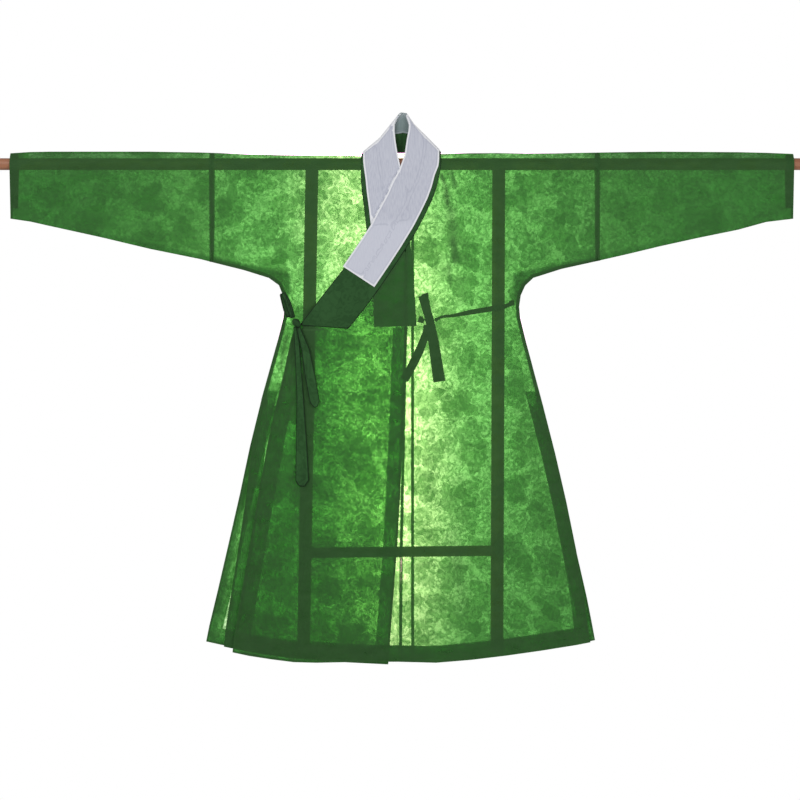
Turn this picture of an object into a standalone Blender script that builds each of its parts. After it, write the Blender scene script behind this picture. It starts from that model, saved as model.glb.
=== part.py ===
# Hanfu robe of sheer gauze, crossed left over right, hung through its sleeves on a wooden rod.
# +X is the wearer's left, the front faces -Y, +Z is up. The origin is on the rod's axis, mid-length.
# Every size and table below is in millimetres; meshes are made in metres.
import math
from collections import namedtuple

import bmesh
import bpy
from mathutils import Matrix, Vector

MM = 0.001


def table(columns, *rows):
    row = namedtuple("Row", columns)
    return [row(*values) for values in rows]


# Wooden frame
ROD_RADIUS = 14.5
ROD_LENGTH = 2060.0
ROD_SIDES = 40
ROD_CHAMFER = 2.0
UPRIGHT_WIDTH = 31.0
UPRIGHT_DEPTH = 16.0
CROSSBAR_HEIGHT = 25.0
CROSSBAR_DEPTH = 12.0
CROSSBAR_Z = {"left": -949.0, "right": -954.0}
JOINT_GAP = 0.3
# Each upright is named by the wearer's side; x is its middle, z its lower end
UPRIGHTS = table("side x_top x_foot z_foot",
                 ("left", 237.5, 232.8, -1200.0), ("right", -221.0, -242.0, -1208.0))

# Cloth
WALL = 1.2            # one layer of gauze with its seam allowances
COLLAR_WALL = 2.4     # folded and stiffened band
GUARD_WALL = 1.0      # white guard round the collar
FACING_WALL = 1.0
TIE_WALL = 1.6
SEAM_GAP = 0.4        # between pieces that are sewn edge to edge
LAYER_GAP = 0.5       # between layers that lie on each other
HANG = 17.6           # from the rod's middle plane to the cloth that hangs beside it
LAYER_LIFT = 5.8      # the wrapped-over front stands this far outside the one under it
LIFT_FULL_X = 40.0    # full lift from here towards the wearer's right
LIFT_NONE_X = 160.0   # and none from here towards the wearer's left
UPRIGHT_HOLD = 256.0  # the uprights keep front and back apart up to this far from the middle
SEAM_EDGE = 0.75      # front and back sheets from the middle plane at a sewn edge
SEAM_FLAT = 6.0       # width of the flat allowance along a sewn edge
SLIT_TOP = -575.0
SLIT_START = -535.0   # front and back begin to part here
SLIT_ROOM = 2.2       # each sheet stands this much further out at the top of a side slit
SLIT_SPREAD = 1.8     # and this much more at its foot
HEM_BAND = 40.0       # turned hem, and the facing of the free front edge
SLIT_BAND = 34.0      # facings of the side slits
INNER_EDGE_BAND = 34.0
CUFF_BAND = 18.0
SEAM_COLUMN = 12.0    # the outermost column of a panel
PANEL_COLUMNS = 5
NECK_COLUMNS = 2
OVERLAP_COLUMNS = 3
TOP_LEVEL = -2.0      # highest row below the arch over the rod
FLAP_TOP = -401.2
LAST_LEVEL = -1100.0  # the hem band follows below
LONGEST_ROW = 130.0
LEAST_ROW = 9.0
SLEEVE_SHARES = (1.0, 0.93, 0.8, 0.6, 0.4, 0.2, 0.0)
MERGE = 0.00001
FORWARD = Vector((0, -1, 0))
BACK_SEAM_X = 26.0
NECK_X = {"left": 94.7, "right": -98.9}
SLEEVE_JOIN_X = {"left": 479.4, "right": -466.5}
CENTRE_SEAM = table("z x", (-180.0, 8.6), (-407.0, 8.6), (-972.0, -2.5), (-1225.0, -3.9))
FLAP_SIDE_X = -69.3   # the under front's flap starts below the end of the neckline
FLAP_EDGE = table("z x", (-401.0, 12.3), (-873.0, -7.4), (-1226.0, -34.0))
OVERLAP_EDGE = table("z x", (-405.0, -262.0), (-432.0, -272.0), (-520.0, -291.0), (-655.0, -323.0),
                     (-800.0, -350.0), (-975.0, -380.0), (-1145.0, -409.5), (-1200.0, -415.0))
OVERLAP_TOP_Z = -216.0
OVERLAP_STEP_Z = -405.4
OVERLAP_INNER = table("z x", (-405.0, -130.4), (-1220.0, -210.0))

# Height of the pressed shoulder fold above the rod's middle
CREST = table("x z", (-961.0, 26.0), (-900.0, 30.0), (-560.0, 30.0), (-466.0, 27.0), (-340.0, 22.5),
              (-93.0, 21.0), (0.0, 26.0), (90.0, 25.8), (237.0, 26.5), (330.0, 25.0), (466.0, 27.5),
              (620.0, 30.0), (860.0, 28.5), (960.0, 24.5))
CREST_SHARES = (1.0, 0.93, 0.8, 0.6, 0.35)

# Underarm and side seam, from the cuff round the armpit to the hem
SEAM = {
    "left": table("x z", (960, -134), (894, -142), (825, -161), (727, -181), (636, -201), (557, -220),
                  (469, -240), (378, -260), (322, -279), (302, -298), (291, -322), (287, -350),
                  (290, -378), (304, -436), (346, -594), (376, -712), (403, -829), (427, -947),
                  (454, -1065), (474, -1171)),
    "right": table("x z", (-961, -134), (-913, -141), (-864, -152), (-741, -179), (-619, -208),
                   (-496, -233), (-388, -260), (-327, -279), (-302, -297), (-292, -322), (-288, -350),
                   (-291, -378), (-304, -430), (-344, -574), (-373, -692), (-398, -810), (-425, -928),
                   (-452, -1045), (-481, -1172)),
}

# Below the slits each front's side edge lies this far inside the back's
DRAWN_IN = {
    "left": table("z x", (-970, 0), (-1140, 12)),
    "right": table("z x", (-660, 0), (-750, 12), (-886, 23), (-1143, 42), (-1200, 45)),
}

# Hems of the three sheets
HEM = {
    "outer": table("x z", (-415, -1197), (-349, -1210), (-250, -1222), (-150, -1220), (-4, -1219),
                   (81, -1222), (191, -1213), (290, -1200), (388, -1187), (474, -1171)),
    "inner": table("x z", (-481, -1175), (-415, -1188), (-300, -1209), (-152, -1220), (-39, -1226)),
    "back": table("x z", (-481, -1172), (-415, -1187), (-300, -1208), (-100, -1221), (0, -1224),
                  (81, -1225), (240, -1209), (388, -1186), (474, -1169)),
}

# Soft folds: a ridge stands out where depth is above 0, a trough sinks in below 0
FOLDS = table("sheet x_top z_top x_foot z_foot half_width depth runs_out",
              ("front", 97, -30, 130, -250, 13, -3.0, False),
              ("front", 150, -430, 205, -1230, 34, 3.6, True),
              ("front", 84, -520, 98, -1230, 30, -3.0, True),
              ("front", 268, -500, 330, -1230, 38, -3.2, True),
              ("front", 300, -640, 410, -1230, 36, 3.0, True),
              ("front", -150, -430, -185, -1230, 36, 3.4, True),
              ("front", -75, -560, -90, -1230, 28, -2.6, True),
              ("front", -230, -450, -290, -1230, 34, -3.2, True),
              ("front", -280, -430, -372, -1230, 30, 3.2, True),
              ("back", 120, -300, 150, -1230, 40, 3.6, True),
              ("back", 230, -420, 300, -1230, 36, -3.0, True),
              ("back", -40, -350, -50, -1230, 36, 3.2, True),
              ("back", -150, -420, -200, -1230, 38, -3.2, True),
              ("back", -250, -420, -340, -1230, 34, 3.2, True))

# Collar: stations along the band, each from the seam to the free edge, from the lower end of the under
# lapel, round the back of the neck, to the end of the upper lapel. A y of None follows the sheet below.
COLLAR_COLUMNS = "seam_x seam_y seam_z free_x free_y free_z"
UNDER_LAPEL = table(COLLAR_COLUMNS,
                    (-68.7, None, -400.4, 35.8, None, -398.0),
                    (-70.4, None, -338.6, 31.4, None, -323.6),
                    (-77.2, None, -260.8, 28.0, None, -245.0),
                    (-87.6, None, -157.9, 21.5, None, -135.0),
                    (-92.8, None, -110.5, 14.0, None, -84.0),
                    (-98.0, None, -72.1, 5.0, None, -42.0),
                    (-100.5, None, -43.1, -4.0, None, -7.0),
                    (-101.0, -17.6, -11.0, -11.5, -17.2, 28.0),
                    (-100.8, -16.3, 2.5, -15.8, -15.6, 56.0))
NECK = table(COLLAR_COLUMNS,
             (-100.2, -12.5, 12.3, -18.2, -11.5, 80.0),
             (-99.6, -9.9, 17.8, -17.9, -8.0, 98.0),
             (-98.8, -7.0, 22.0, -13.6, -5.6, 110.0),
             (-98.2, -3.0, 24.2, -7.6, -3.0, 119.4),
             (-96.2, 1.0, 24.4, -2.5, -0.6, 125.0),
             (-91.5, 3.9, 24.8, 0.4, 1.8, 126.9),
             (-79.5, 5.0, 25.6, 2.4, 3.3, 127.0),
             (0.0, 5.4, 27.8, 4.2, 4.2, 127.0),
             (77.5, 5.0, 28.0, 5.9, 3.3, 127.0),
             (86.5, 3.5, 28.2, 7.9, 1.6, 126.9),
             (92.6, -0.5, 28.6, 9.4, -1.0, 126.0),
             (94.5, -6.0, 28.6, 10.1, -3.6, 123.4),
             (94.9, -11.5, 25.6, 10.9, -5.8, 119.0),
             (94.9, -15.5, 19.8, 13.0, -7.8, 111.0),
             (95.1, -18.0, 12.5, 17.0, -11.0, 99.0),
             (95.3, -20.4, 2.0, 15.4, -16.0, 82.0))
# How far the neck's outline sinks at each place across, from nothing at SAG_FOOT to all of it at SAG_FULL
NECK_SAG = table("x depth", (-98.0, 0.0), (-79.0, 6.5), (-66.0, 9.0), (-54.0, 9.0), (-42.0, 7.5),
                 (-29.5, 3.5), (-14.0, 0.0), (2.0, 0.0), (16.0, 3.0), (28.0, 7.5), (38.0, 7.5),
                 (50.0, 4.5), (65.0, 3.0), (92.0, 0.0))
SAG_FOOT = 26.0
SAG_FULL = 60.0
SAG_COLUMN = 0.78     # of the band's width
UPPER_LAPEL = table(COLLAR_COLUMNS,
                    (94.7, None, -12.5, 11.8, -20.8, 62.0),
                    (89.6, None, -36.1, 6.0, -23.4, 20.0),
                    (83.5, None, -62.1, -7.4, None, -16.7),
                    (73.1, None, -91.1, -23.3, None, -44.9),
                    (57.7, None, -123.3, -35.6, None, -73.2),
                    (38.7, None, -160.2, -54.0, None, -107.5),
                    (9.4, None, -208.3, -77.8, None, -152.9),
                    (-22.2, None, -257.1, -109.2, None, -200.8),
                    (-57.7, None, -309.6, -144.8, None, -252.4),
                    (-91.6, None, -354.9, -196.4, None, -321.1),
                    (-131.1, None, -404.7, -250.4, None, -396.0))
NECK_FRONT = 3        # stations of the neck at each end that still run down the front
BARE_UNDER = 3        # stations at the lower end of the under lapel that the guard leaves bare
BARE_UPPER = 2        # and at the end of the upper lapel
GUARD_MARGIN = 12.0   # collar that shows outside the guard along its seam, down the front
NECK_MARGIN = 7.0     # and round the neck
MARGIN_REACH = 40.0   # it widens over this height below the rod
GUARD_EASE = 5.0      # the collar stops this far short of the guard's turned edge
GUARD_RETURN = 0.5    # share of the width that the guard covers on the inside

# Ties, as centre lines with the ribbon's width across them
OUTER_TAIL_LONG = table("x z y width", (-260, -404, -26.6, 11), (-256, -456, -26.2, 13),
                        (-249, -574, -25.9, 17), (-246, -689, -25.9, 27), (-244.3, -775, -25.9, 33),
                        (-245, -790, -25.9, 14))
OUTER_TAIL_SHORT = table("x z y width", (-253, -404, -29.6, 10), (-236, -456, -29.2, 20),
                         (-223.6, -527, -28.6, 25), (-213, -584, -28.0, 24), (-211, -597, -28.0, 8))
OUTER_LOOP = table("x z y width", (-267.0, -378, -21.0, 12), (-273.5, -358, -22.0, 15),
                   (-281.0, -336, -21.0, 14), (-287.5, -324, -19.0, 13), (-291.5, -317.5, -15.5, 13),
                   (-293.5, -320, -12.0, 13), (-290.0, -336, -10.2, 13), (-284.5, -358, -10.4, 13),
                   (-277.0, -376, -12.4, 11))
LOOP_AXIS = Vector((-0.29, 0.0, 0.96))    # the loop lies flat along the side seam
INNER_RIBBON = table("x z y width", (51.5, -323, -19.6, 25), (60, -358, -19.6, 21), (68.5, -387, -19.4, 21),
                     (77.5, -439, -18.6, 26), (91.5, -534, -17.4, 30))
INNER_TAIL = table("x z y width", (62, -400, -16.2, 18), (58.9, -417, -16.6, 19), (41.7, -461, -18.6, 21),
                   (22.1, -500, -19.8, 21), (4.9, -530, -20.0, 21))
INNER_TAB = table("x z y width", (40.0, -382, -16.6, 13), (46, -384, -15.6, 12), (54.0, -386, -14.8, 11))
INNER_STRAP = table("x z y width", (80.5, -384, -16.0, 8), (97, -375, -15.2, 6.5), (127.7, -372, -14.2, 8),
                    (167, -364, -13.4, 12), (228, -354, -12.6, 13.5), (249.4, -350.6, -11.4, 11),
                    (275, -341, -1.4, 8.6))
KNOTS = table("name x z y half_width half_height half_depth",
              ("outer_tie_knot", -258, -390.5, -31.0, 10.5, 12, 4.6),
              ("inner_tie_knot", 67, -386, -14.8, 11, 11, 3.2))


def read(rows, key, value, at):
    """One column of a table at a place along another, straight between its rows."""
    points = sorted((getattr(row, key), getattr(row, value)) for row in rows)
    if at <= points[0][0]:
        return points[0][1]
    for (start, low), (end, high) in zip(points, points[1:]):
        if at <= end:
            return low + (high - low) * (at - start) / (end - start)
    return points[-1][1]


def smooth(share):
    share = min(max(share, 0.0), 1.0)
    return share * share * (3 - 2 * share)


def wearer_side(x):
    return "left" if x > 0 else "right"


def crest(x):
    return read(CREST, "x", "z", x)


def seam_z(side, x):
    """Height of the sleeve's underseam; only the rows above the armpit count."""
    return read([row for row in SEAM[side] if row.z > -300], "x", "z", x)


def join_z(side):
    return seam_z(side, SLEEVE_JOIN_X[side])


def side_x(side, z):
    """Outer edge of a body panel: the sleeve join above, then underarm and side seam."""
    if z >= join_z(side):
        return SLEEVE_JOIN_X[side]
    return read(SEAM[side], "z", "x", z)


def seam_distance(x, z):
    rows = SEAM[wearer_side(x)]
    place = Vector((x, z))
    nearest = math.inf
    for start, end in zip(rows, rows[1:]):
        origin = Vector((start.x, start.z))
        run = Vector((end.x, end.z)) - origin
        share = min(max((place - origin).dot(run) / run.length_squared, 0.0), 1.0)
        nearest = min(nearest, (place - origin - run * share).length)
    return nearest


def arch(x, z):
    """1 below the rod's middle, falling to 0 at the crest of the shoulder fold."""
    if z <= 0:
        return 1.0
    return (1 - min(z / crest(x), 1.0) ** 1.6) ** 0.9


def sheet_share(x, z):
    """0 at a sewn edge, 1 where the rod or an upright holds the two sheets apart."""
    reach = max(seam_distance(x, z) - SEAM_FLAT, 0.0)
    hold = max(min(-z, abs(x) - UPRIGHT_HOLD), 0.0)
    return 1.0 if hold == 0 else reach / (reach + hold)


def fold_depth(sheet, x, z):
    depth = 0.0
    for fold in FOLDS:
        if fold.sheet != sheet or not fold.z_foot <= z <= fold.z_top:
            continue
        along = (fold.z_top - z) / (fold.z_top - fold.z_foot)
        middle = fold.x_top + (fold.x_foot - fold.x_top) * along
        swell = math.sin(along * math.pi * (0.5 if fold.runs_out else 1.0))
        depth += fold.depth * swell * math.exp(-((x - middle) / fold.half_width) ** 2)
    return depth


def edge_gap(z):
    """From the middle plane to each sheet at the side seam and down the slit below it."""
    opening = SLIT_ROOM * smooth((SLIT_START - z) / (SLIT_START - SLIT_TOP))
    return SEAM_EDGE + opening + SLIT_SPREAD * smooth((SLIT_TOP - z) / (SLIT_TOP - LAST_LEVEL))


def cloth_y(sheet, x, z):
    """Middle of the wall of one sheet: outer and inner fronts, or back."""
    if z > 0:
        gap = HANG * arch(x, z)
    else:
        share = sheet_share(x, z)
        edge = edge_gap(z)
        gap = edge + (HANG - edge) * share
        gap += fold_depth("back" if sheet == "back" else "front", x, z) * smooth(share * 2)
    if sheet == "back":
        return gap
    if sheet == "outer":
        gap += LAYER_LIFT * smooth((LIFT_NONE_X - x) / (LIFT_NONE_X - LIFT_FULL_X)) * arch(x, z)
    return -gap


def cloth_point(sheet, x, z, inset=0.0):
    """A point on a sheet, moved square to it towards the inside of the robe."""
    place = Vector((x, cloth_y(sheet, x, z), z))
    if inset:
        step = 4.0
        slope_x = (cloth_y(sheet, x + step, z) - cloth_y(sheet, x - step, z)) / (2 * step)
        slope_z = (cloth_y(sheet, x, z + step) - cloth_y(sheet, x, z - step)) / (2 * step)
        place += Vector((-slope_x, 1, -slope_z)).normalized() * (-inset if sheet == "back" else inset)
    return place


def hem_z(sheet, x):
    return read(HEM[sheet], "x", "z", x)


def neckline(sheet, z):
    """Edge of a front panel along the collar's seam."""
    stations = UNDER_LAPEL + NECK[:NECK_FRONT] if sheet == "inner" else NECK[-NECK_FRONT:] + UPPER_LAPEL
    return read(stations, "seam_z", "seam_x", z)


def front_edge(side, z):
    """Inner edge of a body panel's front: the neckline, then the centre seam or the flap's start."""
    if side == "right":
        return min(neckline("inner", z) - SEAM_GAP * 1.5, FLAP_SIDE_X)
    centre = read(CENTRE_SEAM, "z", "x", z) + SEAM_GAP / 2
    return max(neckline("outer", z) + SEAM_GAP * 1.5, centre)


def spread(start, end, count):
    return [start + (end - start) * number / count for number in range(count + 1)]


def fill_levels(required):
    """Heights from the top down: the required ones, with long gaps filled and near twins left out."""
    kept = []
    fixed = (SLIT_TOP, FLAP_TOP, OVERLAP_STEP_Z)
    for level in sorted(required, reverse=True):
        if kept and kept[-1] - level < LEAST_ROW:
            if level not in fixed:
                continue
            kept.pop()
        if kept and kept[-1] - level > LONGEST_ROW:
            kept += spread(kept[-1], level, math.ceil((kept[-1] - level) / LONGEST_ROW))[1:-1]
        kept.append(level)
    return kept


def patch(bm, columns, rows, place):
    """A grid of quads whose corners place(column, row) puts on the cloth."""
    grid = bmesh.ops.create_grid(bm, x_segments=columns, y_segments=rows, size=0.5)
    for vert in grid["verts"]:
        vert.co = place(round((vert.co.x + 0.5) * columns), round((vert.co.y + 0.5) * rows)) * MM


def add_piece(name, bm, collection, colour):
    bmesh.ops.remove_doubles(bm, verts=bm.verts, dist=MERGE)
    bmesh.ops.recalc_face_normals(bm, faces=bm.faces)
    mesh = bpy.data.meshes.new(name)
    bm.to_mesh(mesh)
    bm.free()
    mesh.shade_smooth()
    mesh.set_sharp_from_angle(angle=math.radians(40))
    material = bpy.data.materials.new(name)
    material.use_nodes = True
    shader = material.node_tree.nodes["Principled BSDF"]
    shader.inputs["Base Color"].default_value = (*colour, 1.0)
    shader.inputs["Roughness"].default_value = 0.7
    shader.inputs["Metallic"].default_value = 0.0
    mesh.materials.append(material)
    piece = bpy.data.objects.new(name, mesh)
    collection.objects.link(piece)
    return piece


def thicken(name, bm, collection, colour, wall):
    """An open sheet given its wall, half to each side."""
    bmesh.ops.remove_doubles(bm, verts=bm.verts, dist=MERGE)
    bmesh.ops.triangulate(bm, faces=bm.faces, quad_method="SHORT_EDGE")
    piece = add_piece(name, bm, collection, colour)
    solidify = piece.modifiers.new("wall", "SOLIDIFY")
    solidify.thickness = wall * MM
    solidify.offset = 0.0
    solidify.use_even_offset = True
    return piece


GREEN = (0.045, 0.19, 0.04)
DEEP_GREEN = (0.02, 0.085, 0.02)
GUARD_WHITE = (0.50, 0.50, 0.56)
WOOD = (0.33, 0.16, 0.095)


def level_z(levels, row, sheet, x):
    """A row's height; the two rows past the levels are the top and the foot of the hem band."""
    if row < len(levels):
        return levels[row]
    return hem_z(sheet, x) + (HEM_BAND if row == len(levels) else 0.0)


def on_sheet(sheet, levels, columns, column, row, inset=0.0):
    """Where a column and a row of a sheet cross; columns(z) gives the places across at a height."""
    start = levels[row] if row < len(levels) else levels[-1]
    z = level_z(levels, row, sheet, columns(start)[column])
    x = columns(z)[column]
    return cloth_point(sheet, x, level_z(levels, row, sheet, x), inset)


def side_columns(inner_x, outer_x):
    """Even from the inner edge, then the band and the seam allowance at the outer edge."""
    towards = 1 if outer_x > inner_x else -1
    even = spread(inner_x, outer_x - towards * SLIT_BAND, PANEL_COLUMNS)
    return even + [outer_x - towards * SEAM_COLUMN, outer_x]


def front_columns(side, z):
    inner_x = NECK_X[side] if z >= crest(NECK_X[side]) - 0.5 else front_edge(side, z)
    drawn = read(DRAWN_IN[side], "z", "x", z)
    return side_columns(inner_x, side_x(side, z) - (drawn if side == "left" else -drawn))


def back_columns(side, z):
    seam = BACK_SEAM_X + (SEAM_GAP / 2 if side == "left" else -SEAM_GAP / 2)
    return spread(seam, NECK_X[side], NECK_COLUMNS)[:-1] + side_columns(NECK_X[side], side_x(side, z))


def flap_columns(z):
    edge = read(FLAP_EDGE, "z", "x", z)
    return [edge, edge - INNER_EDGE_BAND, FLAP_SIDE_X]


def wedge_columns(z):
    """Upper overlap, under the collar: from the collar's seam to the centre seam."""
    under = neckline("outer", z) + SEAM_GAP * 1.5
    start = under if z > OVERLAP_STEP_Z else read(OVERLAP_INNER, "z", "x", z)
    return spread(start, read(CENTRE_SEAM, "z", "x", z) - SEAM_GAP / 2, OVERLAP_COLUMNS)


def wrap_columns(z):
    """Lower overlap: from its free edge to the line below the collar's end."""
    edge = read(OVERLAP_EDGE, "z", "x", z)
    return [edge] + spread(edge + HEM_BAND, wedge_columns(z)[0], OVERLAP_COLUMNS)


def panel_levels(side):
    heights = [row.seam_z for row in (UPPER_LAPEL if side == "left" else UNDER_LAPEL) if row.seam_y is None]
    heights += [row.z for row in SEAM[side] if LAST_LEVEL < row.z < join_z(side)]
    return fill_levels(heights + [TOP_LEVEL, join_z(side), FLAP_TOP, SLIT_TOP])


def over_shoulder(sheet, columns, column, row):
    """A point on the arch above the rod, for the rows from the crest down."""
    guess = CREST_SHARES[row] * crest(columns(TOP_LEVEL)[column])
    x = columns(guess)[column]
    return cloth_point(sheet, x, CREST_SHARES[row] * crest(x))


def body_panel(collection, side, sheet):
    """Front and back in one length over the shoulder, with the back's neck part and any flap."""
    levels = panel_levels(side)
    arches = len(CREST_SHARES)
    half = arches + len(levels) + 1

    def place(face, columns, column, row):
        if row < arches:
            return over_shoulder(face, columns, column, row)
        return on_sheet(face, levels, columns, column, row - arches)

    def main_place(column, row):
        if row > half:
            return place("back", lambda z: back_columns(side, z)[NECK_COLUMNS:], column, row - half)
        return place(sheet, lambda z: front_columns(side, z), column, half - row)

    def neck_place(column, row):
        return place("back", lambda z: back_columns(side, z), column, row)

    bm = bmesh.new()
    patch(bm, PANEL_COLUMNS + 2, 2 * half, main_place)
    patch(bm, NECK_COLUMNS, half, neck_place)
    if sheet == "inner":
        flap_levels = levels[levels.index(FLAP_TOP):]
        patch(bm, 2, len(flap_levels) + 1,
              lambda column, row: on_sheet(sheet, flap_levels, flap_columns, column, row))
    return thicken("body_" + side, bm, collection, GREEN, WALL)


def overlap(collection):
    """The piece sewn to the upper front: a wedge beside the collar, then the width that wraps over."""
    heights = [row.seam_z for row in UPPER_LAPEL if OVERLAP_STEP_Z < row.seam_z < OVERLAP_TOP_Z]
    heights += [OVERLAP_TOP_Z, OVERLAP_STEP_Z, SLIT_TOP]
    heights += [row.z for row in SEAM["left"] + OVERLAP_EDGE if LAST_LEVEL < row.z < OVERLAP_STEP_Z]
    levels = fill_levels(heights)
    lower = levels[levels.index(OVERLAP_STEP_Z):]
    bm = bmesh.new()
    patch(bm, OVERLAP_COLUMNS, len(levels) + 1,
          lambda column, row: on_sheet("outer", levels, wedge_columns, column, row))
    patch(bm, OVERLAP_COLUMNS + 1, len(lower) + 1,
          lambda column, row: on_sheet("outer", lower, wrap_columns, column, row))
    thicken("outer_overlap", bm, collection, GREEN, WALL)
    facing(collection, "overlap_facing", "outer", lower, lambda z: wrap_columns(z) + wedge_columns(z)[1:],
           [(0, 1, OVERLAP_STEP_Z)])


def facing(collection, name, sheet, levels, columns, strips):
    """Turned edges inside a sheet: a strip down each free edge, and the hem band between them.

    A strip is its first column, its last column and the height that it starts from.
    """
    inset = (WALL + FACING_WALL) / 2 + LAYER_GAP
    bm = bmesh.new()
    last = len(columns(SLIT_TOP)) - 1
    spans = [0]
    for first, end, top in strips:
        part = levels[levels.index(top):]
        patch(bm, end - first, len(part) + 1,
              lambda column, row: on_sheet(sheet, part, columns, first + column, row, inset))
        spans += [first, end]
    spans.append(last)
    for first, end in zip(spans[::2], spans[1::2]):
        if end > first:
            patch(bm, end - first, 1,
                  lambda column, row: on_sheet(sheet, levels, columns, first + column,
                                               len(levels) + row, inset))
    thicken(name, bm, collection, DEEP_GREEN, FACING_WALL)


def body_facings(collection):
    left = panel_levels("left")
    right = panel_levels("right")
    outer_edge = (PANEL_COLUMNS, PANEL_COLUMNS + 2, SLIT_TOP)
    back_edge = (PANEL_COLUMNS + NECK_COLUMNS, PANEL_COLUMNS + NECK_COLUMNS + 2, SLIT_TOP)
    under_edge = (PANEL_COLUMNS + 2, PANEL_COLUMNS + 4, SLIT_TOP)
    facing(collection, "front_facing_left", "outer", left, lambda z: front_columns("left", z), [outer_edge])
    facing(collection, "back_facing_left", "back", left, lambda z: back_columns("left", z), [back_edge])
    facing(collection, "back_facing_right", "back", right, lambda z: back_columns("right", z), [back_edge])
    facing(collection, "front_facing_right", "inner", right,
           lambda z: flap_columns(z) + front_columns("right", z)[1:], [(0, 1, FLAP_TOP), under_edge])


def sleeve_profile(side, x):
    """Middle of the wall round a sleeve: up the front from the underseam, over, and down the back."""
    foot = seam_z(side, x) + WALL / 2
    heights = [foot * share for share in SLEEVE_SHARES] + [share * crest(x) for share in CREST_SHARES[:0:-1]]
    flank = [(SEAM_EDGE if z == foot else cloth_y("back", x, z), z) for z in heights]
    return [(-y, z) for y, z in flank] + [(0.0, crest(x))] + flank[::-1]


def inset_profile(profile, distance):
    """The inner points of a profile, moved towards the hollow and kept square to both their sides."""
    moved = []
    for before, here, after in zip(profile, profile[1:], profile[2:]):
        into = (Vector(here) - Vector(before)).normalized()
        out = (Vector(after) - Vector(here)).normalized()
        square = Vector((into.y + out.y, -into.x - out.x)).normalized()
        moved.append(Vector(here) + square * distance / square.dot(Vector((out.y, -out.x))))
    return moved


def sleeve(collection, side):
    """A tube from the join to the cuff, open at both ends, with its turned cuff inside."""
    towards = 1 if side == "left" else -1
    cuff = SEAM[side][0].x
    join = SLEEVE_JOIN_X[side] + towards * SEAM_GAP
    stations = [cuff, cuff - towards * CUFF_BAND] + [row.x for row in SEAM[side][1:6]] + [join]
    profiles = [sleeve_profile(side, x) for x in stations]
    around = len(profiles[0])
    bm = bmesh.new()
    patch(bm, around, len(stations) - 1,
          lambda column, row: Vector((stations[row], *profiles[row][column % around])))
    thicken("sleeve_" + side, bm, collection, GREEN, WALL)
    # The strip stops clear of the underseam, where front and back lie together
    strips = [inset_profile(profile, (WALL + FACING_WALL) / 2 + LAYER_GAP)[1:-1] for profile in profiles[:2]]
    bm = bmesh.new()
    patch(bm, len(strips[0]) - 1, 1, lambda column, row: Vector((stations[row], *strips[row][column])))
    thicken("cuff_facing_" + side, bm, collection, DEEP_GREEN, FACING_WALL)


def loft(collection, name, sections, colour):
    """A closed solid through a row of like sections."""
    around = len(sections[0])
    bm = bmesh.new()
    patch(bm, around, len(sections) - 1, lambda column, row: sections[row][column % around])
    bmesh.ops.remove_doubles(bm, verts=bm.verts, dist=MERGE)
    bmesh.ops.triangulate(bm, faces=bm.faces, quad_method="FIXED")
    bmesh.ops.holes_fill(bm, edges=[edge for edge in bm.edges if edge.is_boundary], sides=0)
    return add_piece(name, bm, collection, colour)


def band_edges():
    """The collar's seam and its free edge, station by station."""
    edges = []
    for sheet, stations in (("inner", UNDER_LAPEL), ("outer", NECK + UPPER_LAPEL)):
        for row in stations:
            seam_y = cloth_y(sheet, row.seam_x, row.seam_z) if row.seam_y is None else row.seam_y
            free_y = cloth_y(sheet, row.free_x, row.free_z) if row.free_y is None else row.free_y
            edges.append((Vector((row.seam_x, seam_y, row.seam_z)),
                          Vector((row.free_x, free_y, row.free_z))))
    return edges


def guard_margin(seam_z):
    return NECK_MARGIN + (GUARD_MARGIN - NECK_MARGIN) * smooth(-seam_z / MARGIN_REACH)


def sag(point):
    """A place on the collar, lowered where the folded band sinks between its top and the shoulder."""
    depth = read(NECK_SAG, "x", "depth", point.x) * smooth((point.z - SAG_FOOT) / (SAG_FULL - SAG_FOOT))
    return point - Vector((0, 0, depth))


def band_sections(outline):
    """Sections of the collar: outline(width, margin) gives points along the width and outwards."""
    edges = band_edges()
    middles = [(seam + free) / 2 for seam, free in edges]
    runs = [(end - start).normalized() for start, end in zip(middles, middles[1:])]
    sections = []
    for (seam, free), before, after in zip(edges, runs[:1] + runs, runs + runs[-1:]):
        across = (free - seam).normalized()
        outward = across.cross(before + after).normalized()
        points = outline((free - seam).length, guard_margin(seam.z))
        sections.append([sag(seam + across * along + outward * out) for along, out in points])
    return sections


def collar_outline(width, margin):
    out = COLLAR_WALL / 2
    along = (0.0, margin, width * GUARD_RETURN, width * SAG_COLUMN, width - GUARD_EASE)
    return [(place, out) for place in along] + [(place, -out) for place in reversed(along)]


def guard_outline(width, margin):
    """A folded strip: over the outer face, round the free edge and half-way back inside."""
    near = COLLAR_WALL / 2 + LAYER_GAP
    far = near + GUARD_WALL
    back = width * GUARD_RETURN
    bend = width * SAG_COLUMN
    fold = width - GUARD_WALL
    return [(margin, near), (back, near), (bend, near), (fold, near), (fold, -near), (bend, -near),
            (back, -near), (back, -far), (bend, -far), (fold + GUARD_WALL * 0.4, -far),
            (fold + GUARD_WALL, -near), (fold + GUARD_WALL, near), (fold + GUARD_WALL * 0.4, far),
            (bend, far), (back, far), (margin, far)]


def collar(collection):
    loft(collection, "collar", band_sections(collar_outline), DEEP_GREEN)
    loft(collection, "collar_guard", band_sections(guard_outline)[BARE_UNDER:-BARE_UPPER], GUARD_WHITE)


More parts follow.
